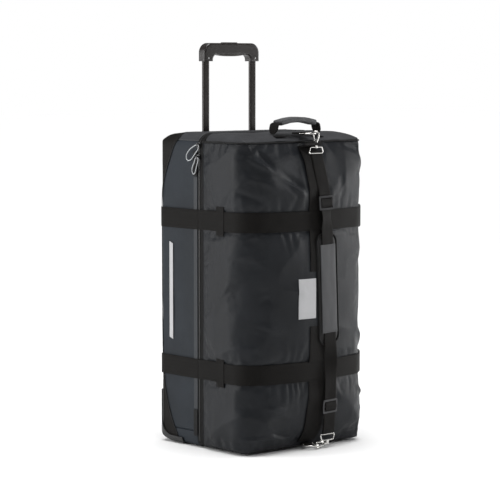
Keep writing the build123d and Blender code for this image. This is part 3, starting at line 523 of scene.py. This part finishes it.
def wrinkles(s, z):
    gap = strapGap(z)
    edge = min(s, wrapTotal - s, z - bag["seamLow"], bag["seamHigh"] - z)
    free = min(1.0, max(edge, 0.0) / 0.035) * min(1.0, gap / 0.012) * bandFree(s)
    near = 0.35 if abs(s - keeperPlace) < 0.018 and gap < 0.013 else 1.0
    swell = near * lidSheet["bulge"] * (1 - math.exp(-gap / 0.05)) * min(1.0, edge / 0.05)
    phase = s / 0.034 + 1.6 * noise.noise(Vector((s * 14, z * 6, 3.1)))
    uneven = 0.4 + 0.6 * abs(noise.noise(Vector((s * 9, 5.0, 1.0)))) * 2
    gather = lidSheet["pucker"] * math.cos(2 * math.pi * phase) * uneven
    gather *= calm(s, z)
    pulled = gather * math.exp(-gap / 0.022) * min(1.0, gap / 0.006)
    seamGap = min(z - bag["seamLow"], bag["seamHigh"] - z)
    seamPhase = s / 0.041 + noise.noise(Vector((s * 10, 9.0, z * 3)))
    seamPull = 0.5 * mm * math.cos(2 * math.pi * seamPhase) * math.exp(-seamGap / 0.02)
    creases = lidSheet["crease"] * (ridge(Vector((s * 7, z * 9, 0.5))) ** 3 - 0.25) * free
    soft = 1.8 * mm * noise.noise(Vector((s * 16, z * 13, 7.7))) * free
    drag = sum(foldLine(s, z, *fold) for fold in cornerFolds) * min(1.0, gap / 0.01) * bandFree(s)
    pulled *= 0.35 + 0.65 * bandFree(s)
    return swell + pulled + seamPull * min(1.0, max(edge, 0) / 0.004) + creases + soft + drag


def makeLidSheet():
    height = bag["seamHigh"] - bag["seamLow"]
    columns, rows = int(wrapTotal / lidSheet["cell"]), int(height / lidSheet["cell"])

    def place(u, v):
        s, z = u * wrapTotal, bag["seamLow"] + v * height
        return formPoint(s, z, wrinkles(s, z))

    bm = gridSheet(columns, rows, (wrapTotal, height), place)
    piece = linkPiece("lidFrontSheet", meshOf("lidFrontSheet", bm), None, [frontCloth, liningCloth])
    relax(piece, wrapTotal, height)
    surface = BVHTree.FromObject(piece, bpy.context.evaluated_depsgraph_get())
    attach(piece, "lid")
    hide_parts("front_panel")
    thicken(piece, lidSheet["thickness"], innerMaterial=1)
    return surface


def solve(piece, modifier, frames):
    # steps a cloth modifier, takes it off again and gives where the points went
    modifier.point_cache.frame_start = 1
    modifier.point_cache.frame_end = frames
    scene = bpy.context.scene
    for step in range(1, frames + 1):
        scene.frame_set(step)
    solved = piece.evaluated_get(bpy.context.evaluated_depsgraph_get())
    moved = [vert.co.copy() for vert in solved.data.vertices]
    piece.modifiers.remove(modifier)
    scene.frame_set(1)
    return moved


def follow(piece, moved, cap, share=1.0):
    # moves each point part of the way, and no further than the cap
    for vert, end in zip(piece.data.vertices, moved):
        step = end - vert.co
        vert.co += step * share * min(1.0, cap / max(step.length, 1e-6))
    piece.data.update()


def relax(piece, width, height):
    # cloth a little too large for its frame, blown out and held at seams and straps
    uvs = [None] * len(piece.data.vertices)
    layer = piece.data.uv_layers[0].data
    for loop in piece.data.loops:
        uvs[loop.vertex_index] = layer[loop.index].uv.copy()
    pins = piece.vertex_groups.new(name="held")
    for index, uv in enumerate(uvs):
        s, z = uv.x, uv.y + bag["seamLow"]
        edge = min(uv.x, width - uv.x, uv.y, height - uv.y)
        if edge < 0.004 or strapGap(z) < 0.001:
            pins.add([index], 1.0, "REPLACE")
        else:
            pins.add([index], 0.02, "REPLACE")
    modifier = piece.modifiers.new("cloth", "CLOTH")
    cloth = modifier.settings
    cloth.quality = 5
    cloth.mass = 0.25
    cloth.tension_stiffness = 20
    cloth.compression_stiffness = 20
    cloth.shear_stiffness = 8
    cloth.bending_stiffness = 0.4
    cloth.shrink_min = lidSheet["growth"]
    cloth.use_pressure = True
    cloth.uniform_pressure_force = 3.0
    cloth.vertex_group_mass = "held"
    cloth.pin_stiffness = 1.0
    cloth.effector_weights.gravity = 0.0
    follow(piece, solve(piece, modifier, lidSheet["frames"]), lidSheet["cap"], lidSheet["share"])
    piece.vertex_groups.clear()


sheetSurface = makeLidSheet()


def sheetFront(x, z):
    # the finished sheet's place in Y, seen from the front
    hit = sheetSurface.ray_cast(Vector((x, -0.5, z)), Vector((0, 1, 0)))[0]
    return hit.y if hit else bag["face"]


print("lid sheet ready")


def mergedNodes(nodes):
    bm = bmesh.new()
    for node in nodes:
        bm.from_mesh(frame["nodes"][node].data)
    bmesh.ops.remove_doubles(bm, verts=bm.verts, dist=1e-5)
    return bm


def voxelMesh(name, bm, voxel):
    # one even skin over a rough solid
    blank = bpy.data.objects.new(name + "Blank", meshOf(name + "Blank", bm))
    bpy.context.scene.collection.objects.link(blank)
    remesh = blank.modifiers.new("remesh", "REMESH")
    remesh.mode = "VOXEL"
    remesh.voxel_size = voxel
    mesh = bpy.data.meshes.new_from_object(blank.evaluated_get(bpy.context.evaluated_depsgraph_get()))
    bpy.data.objects.remove(blank)
    return mesh


def softCopy(name, nodes, voxel, body, materials, shape, lining=True, smooth=2, grow=0.0):
    bm = mergedNodes(nodes)
    bmesh.ops.recalc_face_normals(bm, faces=bm.faces)
    mesh = voxelMesh(name, bm, voxel)
    bm = bmesh.new()
    bm.from_mesh(mesh)
    for _ in range(smooth):
        bmesh.ops.smooth_vert(bm, verts=bm.verts, factor=0.5, use_axis_x=True, use_axis_y=True,
                              use_axis_z=True)
    bm.normal_update()
    for vert in bm.verts:
        vert.co += shape(vert.co) + vert.normal * grow
    bm.normal_update()
    if lining:
        heart = Vector((0, 0.03, 0.40))
        for face in bm.faces:
            middle = face.calc_center_median()
            inward = Vector((middle.x - heart.x, middle.y - heart.y, 0))
            if abs(face.normal.z) > 0.7:
                inward = Vector((0, 0, middle.z - heart.z))
            if face.normal.dot(inward) < -0.2 * inward.length:
                face.material_index = 1
    bm.to_mesh(mesh)
    bm.free()
    piece = linkPiece(name, mesh, body, materials)
    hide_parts(*nodes)
    return piece


def noiseShift(point, scale, amount, seed):
    spot = Vector(point) * scale + Vector((seed, seed * 1.7, seed * 0.3))
    apart = (Vector((0, 0, 0)), Vector((31, 0, 0)), Vector((0, 57, 0)))
    return Vector([noise.noise(spot + step) for step in apart]) * amount


def endShape(point):
    # the top and bottom panels puff up between their seams and dip behind the handle
    fade = 1.0 if point.z > 0.4 else 0.35
    if point.z < 0.06 and point.y < zipY:
        tuck = Vector((-point.x, -0.02 - point.y, 0)).normalized() * 3.5 * mm
        tuck *= min(1.0, (0.06 - point.z) / 0.01)
        return tuck + Vector((0, 0, 1.0 * mm))
    return noiseShift(point, 18, 2.2 * mm, 2.0) * fade + noiseShift(point, 48, 0.8 * mm, 4.0) * fade


def rearShape(point):
    # one drift for all the pieces of the rear half, so that their seams stay shut
    # the sides are drawn in a little, under their trim
    side = min(max((abs(point.x) - 0.170) / 0.025, 0.0), 1.0)
    inward = Vector((-math.copysign(1.5 * mm * side, point.x), 0, 0))
    return inward + noiseShift(point, 9, 1.2 * mm, 6.0) + noiseShift(point, 30, 0.4 * mm, 8.0)


def underside(piece, material):
    # the lower end panels are cut from the side's cloth
    piece.data.materials.append(material)
    for face in piece.data.polygons:
        if face.material_index == 0 and face.center.z < 0.2:
            face.material_index = 2


# the top panels take the cloth with painted light from above
lidEnds = softCopy("lidEndPanels", ["front_end_panels"], 2.2 * mm, "lid", [topClothPaintedLight, liningCloth],
                   endShape)
underside(lidEnds, panelCloth)
rearEnds = softCopy("rearEndPanels", ["rear_end_panels"], 2.2 * mm, "rear", [topClothPaintedLight, liningCloth],
                    rearShape, grow=0.7 * mm)
underside(rearEnds, panelCloth)
softCopy("rearSidePanels", ["rear_side_panels"], 2.6 * mm, "rear", [panelCloth, liningCloth],
         rearShape, grow=0.7 * mm)
softCopy("rearTub", ["rear_tub"], 2.9 * mm, "rear", [tubCloth, liningCloth], rearShape,
         grow=0.7 * mm)
print("soft copies ready")


straps = {"width": 50 * mm, "thickness": 1.6 * mm, "lift": 2.6 * mm, "cornerY": 0.170,
          "backRadius": 0.025, "sweep": 0.72}


def strapStrip(name, body, path, acrossAt, width, thickness, cell=6 * mm, ripple=0.0, seed=0.0):
    # a webbing strip: path(t) gives its centre line, acrossAt(t) its width direction
    samples = 60
    points = [path(i / samples) for i in range(samples + 1)]
    length = sum((b - a).length for a, b in zip(points, points[1:]))

    def place(u, v):
        side = (v - 0.5) * width
        wavy = ripple * noise.noise(Vector((u * length * 22, v * 1.4, seed)))
        across = acrossAt(u)
        step = path(min(u + 0.004, 1.0)) - path(max(u - 0.004, 0.0))
        out = step.cross(across).normalized()
        edge = 0.25 * mm * noise.noise(Vector((u * length * 40, 3.0 * round(v), seed)))
        return path(u) + across * (side + edge * (2 * v - 1)) + out * wavy

    bm = gridSheet(max(6, int(length / cell)), 8, (length, width), place)
    piece = linkPiece(name, meshOf(name, bm), body, [strapWeb])
    thicken(piece, thickness, offset=0.0, bevel=0.35 * mm)
    return piece


def upDirection(t):
    return Vector((0, 0, 1))


def tailPoint(t, side, height):
    # along the side behind the zip, then round the back corner as far as the tub's piping
    lift, radius = straps["lift"] - 0.5 * mm, straps["backRadius"]
    straight = straps["cornerY"] - zipY - 0.4 * mm
    run = t * (straight + radius * straps["sweep"])
    if run < straight:
        return Vector((side * (bag["half"] + lift), zipY + 0.4 * mm + run, height))
    angle = (run - straight) / radius
    out = Vector((side * math.cos(angle), math.sin(angle), 0))
    return Vector((side * (bag["half"] - radius), straps["cornerY"], height)) + out * (radius + lift)


def makeStraps():
    for name, height in zip(("Lower", "Upper"), strapHeights):
        def path(t, height=height):
            s = -(bag["tapeFront"] - 0.4 * mm) + t * (wrapTotal + bag["tapeFront"] - 0.4 * mm)
            if s < 0:
                return Vector((-bag["half"] - straps["lift"], wrapStart - s, height))
            sway = 1.2 * mm * noise.noise(Vector((t * 9, height, 0)))
            return formPoint(s, height, straps["lift"]) + Vector((0, 0, sway))

        strip = strapStrip("strapFront" + name, "lid", path, upDirection, straps["width"],
                           straps["thickness"], ripple=0.5 * mm, seed=height)
        if name == "Lower":
            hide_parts("compression_straps")
        for side, ending in ((-1, "Left"), (1, "Right")):
            tail = strapStrip("strapTail" + ending + name, "rear",
                              lambda t, side=side, height=height: tailPoint(t, side, height),
                              upDirection, straps["width"], straps["thickness"], ripple=0.3 * mm,
                              seed=height + side)
            if name == "Lower" and side < 0:
                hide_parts("strap_tails")


makeStraps()

band = {"boxes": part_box("centre_band"), "breaks": (0.316, 0.453), "curl": 16 * mm, "probe": 24 * mm,
        "lift": 0.9 * mm}


def makeBand():
    low, high = band["boxes"]
    middle = (low.x + high.x) / 2
    width = high.x - low.x
    sMiddle = wrapRuns[0] + wrapRuns[1] + wrapRuns[2] / 2 + middle
    lengths = (("Lower", low.z, band["breaks"][0]), ("Upper", band["breaks"][1], high.z))
    for name, start, stop in lengths:
        def path(t, start=start, stop=stop):
            z = start + (stop - start) * t
            end = max(0.0, (z - (bag["seamHigh"] - 0.06)) / 0.06, ((bag["seamLow"] + 0.05) - z) / 0.05)
            shift = -band["curl"] * min(end, 1.0) ** 2
            place = formPoint(sMiddle + shift, z)
            reach = (-band["probe"], 0.0, band["probe"])
            rises = (-6 * mm, 0.0, 6 * mm)
            fronts = [sheetFront(place.x + x, z + rise) for x in reach for rise in rises]
            place.y = min(fronts) - band["lift"]
            return place

        strip = strapStrip("centreBand" + name, "lid", path, lambda t: Vector((1, 0, 0)), width, 1.2 * mm,
                           ripple=0.6 * mm, seed=start)
        if name == "Lower":
            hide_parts("centre_band")


makeBand()


sling = {"width": 38 * mm, "thickness": 1.8 * mm, "padBox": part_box("sling_pad"),
         "box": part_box("sling_webbing"), "lean": math.radians(2.3)}


def splinePoint(points, t):
    # smooth curve through a few points
    spot = t * (len(points) - 1)
    i = min(int(spot), len(points) - 2)
    f = spot - i
    before = points[max(i - 1, 0)]
    after = points[min(i + 2, len(points) - 1)]
    a, b = points[i], points[i + 1]
    return 0.5 * ((2 * a) + (b - before) * f + (2 * before - 5 * a + 4 * b - after) * f ** 2
                  + (3 * a - before - 3 * b + after) * f ** 3)


def slingX(z):
    low, high = sling["box"]
    top = 0.022
    return top + (high.z - z) * math.tan(sling["lean"])


def slingLine():
    low, high = sling["box"]
    line = low.y + sling["thickness"] / 2
    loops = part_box("hook_loops")
    padLow, padHigh = sling["padBox"][0].z, sling["padBox"][1].z
    rows = [(high.z, loops[1].y - 2 * mm), (0.700, -0.1755), (0.640, -0.190), (padHigh + 0.012, line),
            (0.400, line), (padLow - 0.012, line), (0.200, line + 1 * mm), (0.130, line + 5 * mm),
            (0.070, line + 11 * mm), (low.z, -0.1775)]
    return [Vector((slingX(z), y, z)) for z, y in rows]


def makeSling():
    centres = slingLine()

    def twist(t):
        z = splinePoint(centres, t).z
        turn = 0.28 * math.exp(-((z - 0.588) / 0.022) ** 2) - 0.25 * math.exp(-((z - 0.225) / 0.035) ** 2)
        return Vector((math.cos(turn) * math.cos(sling["lean"]), math.sin(turn), math.sin(sling["lean"])))

    strip = strapStrip("slingWebbing", "lid", lambda t: splinePoint(centres, t), twist, sling["width"],
                       sling["thickness"], cell=5 * mm, ripple=0.8 * mm, seed=2.0)
    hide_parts("sling_webbing")
    for name, spot in (("Upper", (0.0, 0.205)), ("Lower", (0.86, 1.0))):
        def inner(t, a=spot[0], b=spot[1]):
            behind = 2.4 * mm * math.sin(math.pi * t) + 0.2 * mm
            return splinePoint(centres, a + (b - a) * t) + Vector((0, behind, 0))

        strapStrip("slingTurn" + name, "lid", inner, lambda t: Vector((1, 0, 0)), sling["width"] - 1 * mm,
                   sling["thickness"], cell=5 * mm, ripple=0.5 * mm, seed=5.0)


makeSling()


def makeGlideWraps():
    # the webbing folded over each tri-glide's bar
    line = slingLine()
    for name, height in (("Upper", 0.6235), ("Lower", 0.1075)):
        spots = [splinePoint(line, i / 200) for i in range(201)]
        middle = min(spots, key=lambda spot: abs(spot.z - height))

        def over(t, middle=middle):
            z = middle.z + (t - 0.5) * 21 * mm
            return Vector((slingX(z), middle.y - 1.6 * mm - 2.4 * mm * math.sin(math.pi * t), z))

        strapStrip("glideWrap" + name, "lid", over, lambda t: Vector((1, 0, 0)), sling["width"] - 1 * mm,
                   sling["thickness"], cell=3 * mm, ripple=0.3 * mm, seed=9.0)


makeGlideWraps()


pad = {"start": (0.94, 0.55, 0.985), "voxel": 3.2 * mm, "frames": 20, "cap": 1.4 * mm, "low": 0.268,
       "high": 0.545, "halfWide": 0.0325, "binding": 3.0 * mm,
       "sleeveLow": 0.296, "sleeveHigh": 0.519, "sleeveHalf": 0.025}


def makePad():
    low, high = sling["padBox"]
    bm = mergedNodes(["sling_pad"])
    middle = (low + high) / 2
    bmesh.ops.translate(bm, verts=bm.verts, vec=-middle)
    bmesh.ops.scale(bm, verts=bm.verts, vec=pad["start"])
    bmesh.ops.translate(bm, verts=bm.verts, vec=middle)
    piece = linkPiece("slingPad", voxelMesh("pad", bm, pad["voxel"]), None, [padCloth])
    inflate(piece)
    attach(piece, "lid")
    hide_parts("sling_pad")
    finer = piece.modifiers.new("finer", "SUBSURF")
    finer.levels = 1
    finer.render_levels = 1


def inflate(piece):
    modifier = piece.modifiers.new("cloth", "CLOTH")
    cloth = modifier.settings
    cloth.quality = 5
    cloth.mass = 0.3
    cloth.bending_stiffness = 1.0
    cloth.use_pressure = True
    cloth.uniform_pressure_force = 4.0
    cloth.effector_weights.gravity = 0.0
    follow(piece, solve(piece, modifier, pad["frames"]), pad["cap"])


def leanPoint(x, y, z):
    # a place on the leaning pad: x across it, z up it
    pivot = sling["box"][1].z
    centre = 0.022
    c, s = math.cos(sling["lean"]), math.sin(sling["lean"])
    dx, dz = x, z - pivot
    return Vector((centre + dx * c - dz * s, y, pivot + dx * s + dz * c))


def tubeAlong(name, points, radius, body, material, closed=False, sides=3):
    curve = bpy.data.curves.new(name, "CURVE")
    curve.dimensions = "3D"
    curve.bevel_depth = radius
    curve.bevel_resolution = sides
    curve.use_fill_caps = True
    spline = curve.splines.new("POLY")
    spline.points.add(len(points) - 1)
    for knot, point in zip(spline.points, points):
        knot.co = (*point, 1)
    spline.use_cyclic_u = closed
    holder = bpy.data.objects.new(name + "Line", curve)
    bpy.context.scene.collection.objects.link(holder)
    mesh = bpy.data.meshes.new_from_object(holder.evaluated_get(bpy.context.evaluated_depsgraph_get()))
    bpy.data.objects.remove(holder)
    return linkPiece(name, mesh, body, [material])


def roundedLoop(halfWide, low, high, radius, y, steps=8):
    points = []
    centres = [(halfWide - radius, high - radius, 0), (-halfWide + radius, high - radius, 90),
               (-halfWide + radius, low + radius, 180), (halfWide - radius, low + radius, 270)]
    for x, z, first in centres:
        for step in range(steps + 1):
            angle = math.radians(first + 90 * step / steps)
            points.append(leanPoint(x + radius * math.cos(angle), y, z + radius * math.sin(angle)))
    return points


def stitchRow(name, points, normals, body, pitch, length, thick=0.55 * mm):
    # short threads laid along a line, half sunk in the cloth
    bm = bmesh.new()
    travelled, due = 0.0, pitch / 2
    for a, b, out in zip(points, points[1:], normals):
        run = (b - a).length
        while due <= travelled + run and run > 0:
            middle = a.lerp(b, (due - travelled) / run)
            along = (b - a).normalized()
            side = along.cross(out).normalized()
            up = side.cross(along)
            frameMatrix = Matrix((along, side, up)).transposed().to_4x4()
            frameMatrix.translation = middle + out * thick * 0.25
            scale = Matrix.Diagonal((length, thick, thick, 1))
            bmesh.ops.create_icosphere(bm, subdivisions=1, radius=0.5, matrix=frameMatrix @ scale)
            due += pitch
        travelled += run
    return linkPiece(name, meshOf(name, bm), body, [threadCord])


makePad()
padMiddle = (sling["padBox"][0].y + sling["padBox"][1].y) / 2 - 0.5 * mm
padEdge = roundedLoop(pad["halfWide"], pad["low"], pad["high"], 0.020, padMiddle)
tubeAlong("slingPadBinding", padEdge, pad["binding"], "lid", bindingCloth, closed=True)

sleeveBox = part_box("sling_pad_sleeve")


def makePadSleeve():
    low, high, half = pad["sleeveLow"], pad["sleeveHigh"], pad["sleeveHalf"]

    def place(u, v):
        x = (u * 2 - 1) * half
        z = low + (high - low) * v
        crown = 1.0 - abs(u * 2 - 1) ** 3
        end = min(v, 1 - v) * (high - low)
        puff = 1.3 * mm * crown * (1 - math.exp(-end / 0.012))
        puff += 0.5 * mm * noise.noise(Vector((x * 60, z * 22, 1.0)))
        return leanPoint(x, sleeveBox[0].y + 1.6 * mm - puff, z)

    bm = gridSheet(18, 76, (2 * half, high - low), place)
    piece = linkPiece("slingPadSleeve", meshOf("slingPadSleeve", bm), "lid", [sleeveCloth])
    thicken(piece, 1.5 * mm, offset=-1.0, bevel=0.4 * mm)
    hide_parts("sling_pad_sleeve")
    front = Vector((0, -1, 0))
    for name, inset in (("Top", high - 3.5 * mm), ("Low", low + 3.5 * mm)):
        row = [leanPoint(x * mm, sleeveBox[0].y + 0.6 * mm, inset) for x in range(-23, 24, 2)]
        stitchRow("sleeveStitch" + name, row, [front] * len(row), "lid", pitch=3.4 * mm, length=2.4 * mm)


makePadSleeve()
print("shoulder strap ready")


def handleShape(point):
    return noiseShift(point, 60, 0.6 * mm, 3.0)


grip = softCopy("carryGrip", ["carry_handle_sleeve"], 1.8 * mm, "carry_handle", [sleeveCloth],
                handleShape, lining=False, smooth=3)


def flatPatch(name, body, material, corners, thickness, onto=None):
    # a sheet between four corners, in order round it
    a, b, c, d = [Vector(corner) for corner in corners]

    def place(u, v):
        spot = a.lerp(b, u).lerp(d.lerp(c, u), v)
        return onto(spot) if onto else spot

    bm = gridSheet(14, 14, ((b - a).length, (d - a).length), place)
    piece = linkPiece(name, meshOf(name, bm), body, [material])
    thicken(piece, thickness, offset=1.0, bevel=0.2 * mm)
    return piece


handle = {"box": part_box("carry_handle_webbing"), "anchor": (0.034, 0.040), "stitchInset": 3 * mm}


def topPoint(x, y):
    # a place on the lid's top panel
    back, front = endBox[1].z, endBox[1].z - 0.0175
    share = (zipY - y) / (zipY - bag["face"])
    return Vector((x, y, back + (front - back) * max(0.0, share) ** 1.3))


def boxStitch(name, corners, out, body):
    # a stitched rectangle with a cross in it
    a, b, c, d = corners
    stitchRow(name, [a, b, c, d, a, c], [out] * 6, body, pitch=3.2 * mm, length=2.2 * mm)
    stitchRow(name + "Cross", [b, d], [out], body, pitch=3.2 * mm, length=2.2 * mm)


def makeAnchors():
    low, high = handle["box"]
    for side, ending in ((-1, "Left"), (1, "Right")):
        outer = high.x + 3 * mm
        inner = outer - handle["anchor"][0]
        middle = (low.y + high.y) / 2
        deep = handle["anchor"][1] / 2
        corners = [(side * outer, middle - deep, 0), (side * inner, middle - deep, 0),
                   (side * inner, middle + deep, 0), (side * outer, middle + deep, 0)]
        flatPatch("handleAnchor" + ending, "lid", strapWeb, corners, 1.5 * mm,
                  onto=lambda spot: topPoint(spot.x, spot.y) + Vector((0, 0, 2.6 * mm)))
        inset = handle["stitchInset"]
        ring = [topPoint(side * x, y) + Vector((0, 0, 4.3 * mm)) for x, y in (
            (outer - inset, middle - deep + inset), (inner + inset, middle - deep + inset),
            (inner + inset, middle + deep - inset), (outer - inset, middle + deep - inset))]
        boxStitch("handleStitch" + ending, ring, Vector((0, 0, 1)), "lid")


def lidSeamLine(z, lift, first=0.0, last=1.0, steps=110):
    return [formPoint((first + (last - first) * i / steps) * wrapTotal, z, lift) for i in range(steps + 1)]


tubeAlong("lidTopPiping", lidSeamLine(bag["seamHigh"], 0.6 * mm), 2.3 * mm, "lid", bindingCloth)


zipSpec = {"pitch": 2.6 * mm, "tooth": (1.5 * mm, 3.0 * mm, 1.5 * mm), "inset": 0.6 * mm,
           "shoulder": 0.040, "hem": 0.020,
           "right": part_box("zip_tape_front")[1].x, "top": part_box("zip_tape_front")[1].z, "floor": 4.8 * mm}


def zipLine():
    # once round the bag on the zip's plane: along the top, over the shoulder, down the side, under the hem
    half, shoulder, hem = bag["half"] - zipSpec["inset"], zipSpec["shoulder"], zipSpec["hem"]
    top, low = zipSpec["top"] + 0.4 * mm, zipSpec["floor"] + 0.6 * mm
    line = []
    steps = 80
    for i in range(steps + 1):
        x = zipSpec["right"] + (-half + shoulder - zipSpec["right"]) * i / steps
        line.append((Vector((x, zipY, top)), Vector((0, 0, 1))))
    for i in range(1, 17):
        angle = math.pi / 2 + math.pi / 2 * i / 16
        out = Vector((math.cos(angle), 0, math.sin(angle)))
        line.append((Vector((-half + shoulder, zipY, top - shoulder)) + out * shoulder, out))
    for i in range(1, 121):
        z = top - shoulder + (low + hem - top + shoulder) * i / 120
        line.append((Vector((-half, zipY, z)), Vector((-1, 0, 0))))
    for i in range(1, 11):
        angle = math.pi + math.pi / 2 * i / 10
        out = Vector((math.cos(angle), 0, math.sin(angle)))
        line.append((Vector((-half + hem, zipY, low + hem)) + out * hem, out))
    for i in range(1, steps + 1):
        x = -half + hem + (zipSpec["right"] + half - hem) * i / steps
        line.append((Vector((x, zipY, low)), Vector((0, 0, -1))))
    return line


def makeTeeth(name, body, side, start):
    bm = bmesh.new()
    line = zipLine()
    travelled, due = 0.0, start
    for (a, outA), (b, outB) in zip(line, line[1:]):
        run = (b - a).length
        while due <= travelled + run:
            share = (due - travelled) / run
            out = outA.lerp(outB, share).normalized()
            along = (b - a).normalized()
            across = Vector((0, 1, 0))
            turn = Matrix((along, across, out)).transposed().to_4x4()
            turn.translation = a.lerp(b, share) + across * side * 1.2 * mm
            bmesh.ops.create_cube(bm, size=1.0, matrix=turn @ Matrix.Diagonal((*zipSpec["tooth"], 1)))
            due += zipSpec["pitch"]
        travelled += run
    return linkPiece(name, meshOf(name, bm), body, [blackPlastic], smooth=False)


makeTeeth("zipTeethLid", "lid", -1, 0.0)
makeTeeth("zipTeethRear", "rear", 1, zipSpec["pitch"] / 2)
print("zip ready")




sidePatches = {"barProud": 1.2 * mm, "front": 0.134, "back": 0.148, "low": 0.268, "high": 0.514,
               "slant": 5 * mm, "endProud": 1.3 * mm, "endFront": 6.2 * mm, "endBack": 21 * mm}


def sidePatch(name, material, proud, front, back, low, high, thickness, slant=0.0):
    # an upright strip on the flat side, its back edge a little higher
    x = -bag["half"] - proud
    corners = [(x, back, low + slant), (x, front, low), (x, front, high), (x, back, high + slant)]
    flatPatch(name, "rear", material, corners, thickness)


sidePatch("sideBar0", reflective, sidePatches["barProud"], sidePatches["front"], sidePatches["back"],
          sidePatches["low"], sidePatches["high"], 0.5 * mm, sidePatches["slant"])
for name, low, high in (("zipEndHigh", 0.689, 0.752), ("zipEndLow", 0.030, 0.097)):
    sidePatch(name, bindingCloth, sidePatches["endProud"], zipY + sidePatches["endFront"],
              zipY + sidePatches["endBack"], low, high, 0.8 * mm)


def onLid(spot):
    return Vector((spot.x, sheetFront(spot.x, spot.z) - 0.7 * mm, spot.z))


flatPatch("frontPatch", "lid", reflective,
          [(-0.060, 0, 0.336), (-0.004, 0, 0.336), (-0.004, 0, 0.436), (-0.060, 0, 0.436)],
          0.5 * mm, onto=onLid)
makeAnchors()
print("patches ready")


def keeperStitches():
    # the keepers' ends are sewn down above and below the strap
    low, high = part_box("strap_keepers")
    out = Vector((-1, 0, 0))
    for height in strapHeights:
        for name, z in (("High", height + 31 * mm), ("HighTwo", height + 34 * mm), ("Low", height - 31 * mm),
                        ("LowTwo", height - 34 * mm)):
            row = [Vector((low.x - 0.1 * mm, y, z)) for y in (low.y + 2 * mm, high.y - 2 * mm)]
            stitchRow("keeperStitch%s%d" % (name, height * 1000), row, [out], "lid", pitch=3.4 * mm,
                      length=2.4 * mm)


def makeGusset():
    # the fabric hinge down the far side: one strip across the zip line
    reach, lift = 13 * mm, 0.7 * mm
    low, high = frontBox[0].z + 2 * mm, frontBox[1].z - 2 * mm

    def place(u, v):
        y = zipY + (u * 2 - 1) * reach
        bow = 0.5 * mm * noise.noise(Vector((u * 2, v * 30, 8.0)))
        return Vector((bag["half"] + lift + bow, y, low + (high - low) * v))

    bm = gridSheet(24, 150, (2 * reach, high - low), place)
    piece = linkPiece("hingeGusset", meshOf("hingeGusset", bm), None, [bindingCloth])
    thicken(piece, 0.9 * mm, offset=0.0)
    settle(piece)
    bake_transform(piece)


keeperStitches()
makeGusset()
print("stitching ready")


finishes = {
    "zip_tape_front zip_tape_rear": tapeCloth, "zip_flap": flapCloth, "tub_piping": bindingCloth,
    "strap_keepers ring_tabs carry_handle_webbing": strapWebCad,
    "buckle_sleeves buckle_plug_lower buckle_plug_upper": bucklePlastic,
    "wheel_housing_left wheel_housing_right kick_plate skid_rails stand_feet trolley_tray trolley_foot"
    " tube_guides lock_plugs": blackPlastic,
    "grip_front grip_back release_button": gripPlastic, "grip_insert": softRubber,
    "trolley_cover back_board": sheetPlastic, "tyre_left tyre_right": wheelRubber,
    "hub_left hub_right": hubPlastic, "outer_tubes inner_tubes": tubeMetal,
    "snap_hooks hook_gate_top hook_gate_bottom hook_loops d_rings": brightMetal,
    "tri_glides zip_slider_lower zip_slider_upper": darkMetal,
    "axles bearings_left bearings_right button_spring foot_screws grip_screws push_rods": steelMetal,
}
for names, material in finishes.items():
    for name in names.split():
        node = frame["nodes"][name]
        node.data.materials.clear()
        node.data.materials.append(material)
coil = frame["nodes"]["button_spring"].data.copy()
spring = linkPiece("buttonSpringCoil", coil, "trolley", [steelMetal])
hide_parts("button_spring")
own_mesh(spring)
print("finishes ready")


studio = {"sky": 1.0, "fill": 0.16, "floor": (0.86, 0.86, 0.86), "overhead": 3.3}


def makeFloor():
    bm = bmesh.new()
    bmesh.ops.create_grid(bm, x_segments=1, y_segments=1, size=30.0)
    floor = bpy.data.objects.new("studioFloor", meshOf("studioFloor", bm))
    bpy.context.scene.collection.objects.link(floor)
    material, wire, shader = startMaterial("floorPaint", Roughness=0.9)
    place, x, y, z = coordinates(wire, False)
    pale = tuple(c * 1.02 for c in studio["floor"])
    feed(speckle(place, 2.0).tint(studio["floor"], pale), shader, "Base Color")
    floor.data.materials.append(material)


def softBox(name, place, aim, size, power):
    data = bpy.data.lights.new(name, "AREA")
    data.shape = "RECTANGLE"
    data.size, data.size_y = size
    data.energy = power
    lamp = bpy.data.objects.new(name, data)
    bpy.context.scene.collection.objects.link(lamp)
    lamp.location = place
    lamp.rotation_euler = (Vector(aim) - Vector(place)).to_track_quat("-Z", "Y").to_euler()


def overhead():
    # whitens the floor evenly and picks out what faces up
    data = bpy.data.lights.new("overhead", "SUN")
    data.energy = studio["overhead"]
    data.angle = math.radians(40)
    lamp = bpy.data.objects.new("overhead", data)
    bpy.context.scene.collection.objects.link(lamp)


def makeWorld():
    world = bpy.data.worlds.new("studioSky")
    bpy.context.scene.world = world
    world.use_nodes = True
    tree = world.node_tree
    sky = tree.nodes["Background"]
    sky.inputs["Color"].default_value = (1, 1, 1, 1)
    wire = Wire(tree)
    seen = wire.node("LightPath", out=0)
    strength = seen * (studio["sky"] - studio["fill"]) + studio["fill"]
    tree.links.new(strength.socket, sky.inputs["Strength"])


makeFloor()
makeWorld()
softBox("leftBox", (-2.6, 1.7, 1.1), (0, 0, 0.35), (1.5, 2.2), 64)
softBox("rightBox", (3.0, -1.25, 0.95), (0, -0.1, 0.35), (1.1, 2.4), 62)
softBox("keyBox", (-1.2, -2.9, 2.9), (0, -0.1, 0.45), (0.9, 0.9), 16)
overhead()
bpy.context.scene.view_settings.view_transform = "Standard"
print("studio ready")
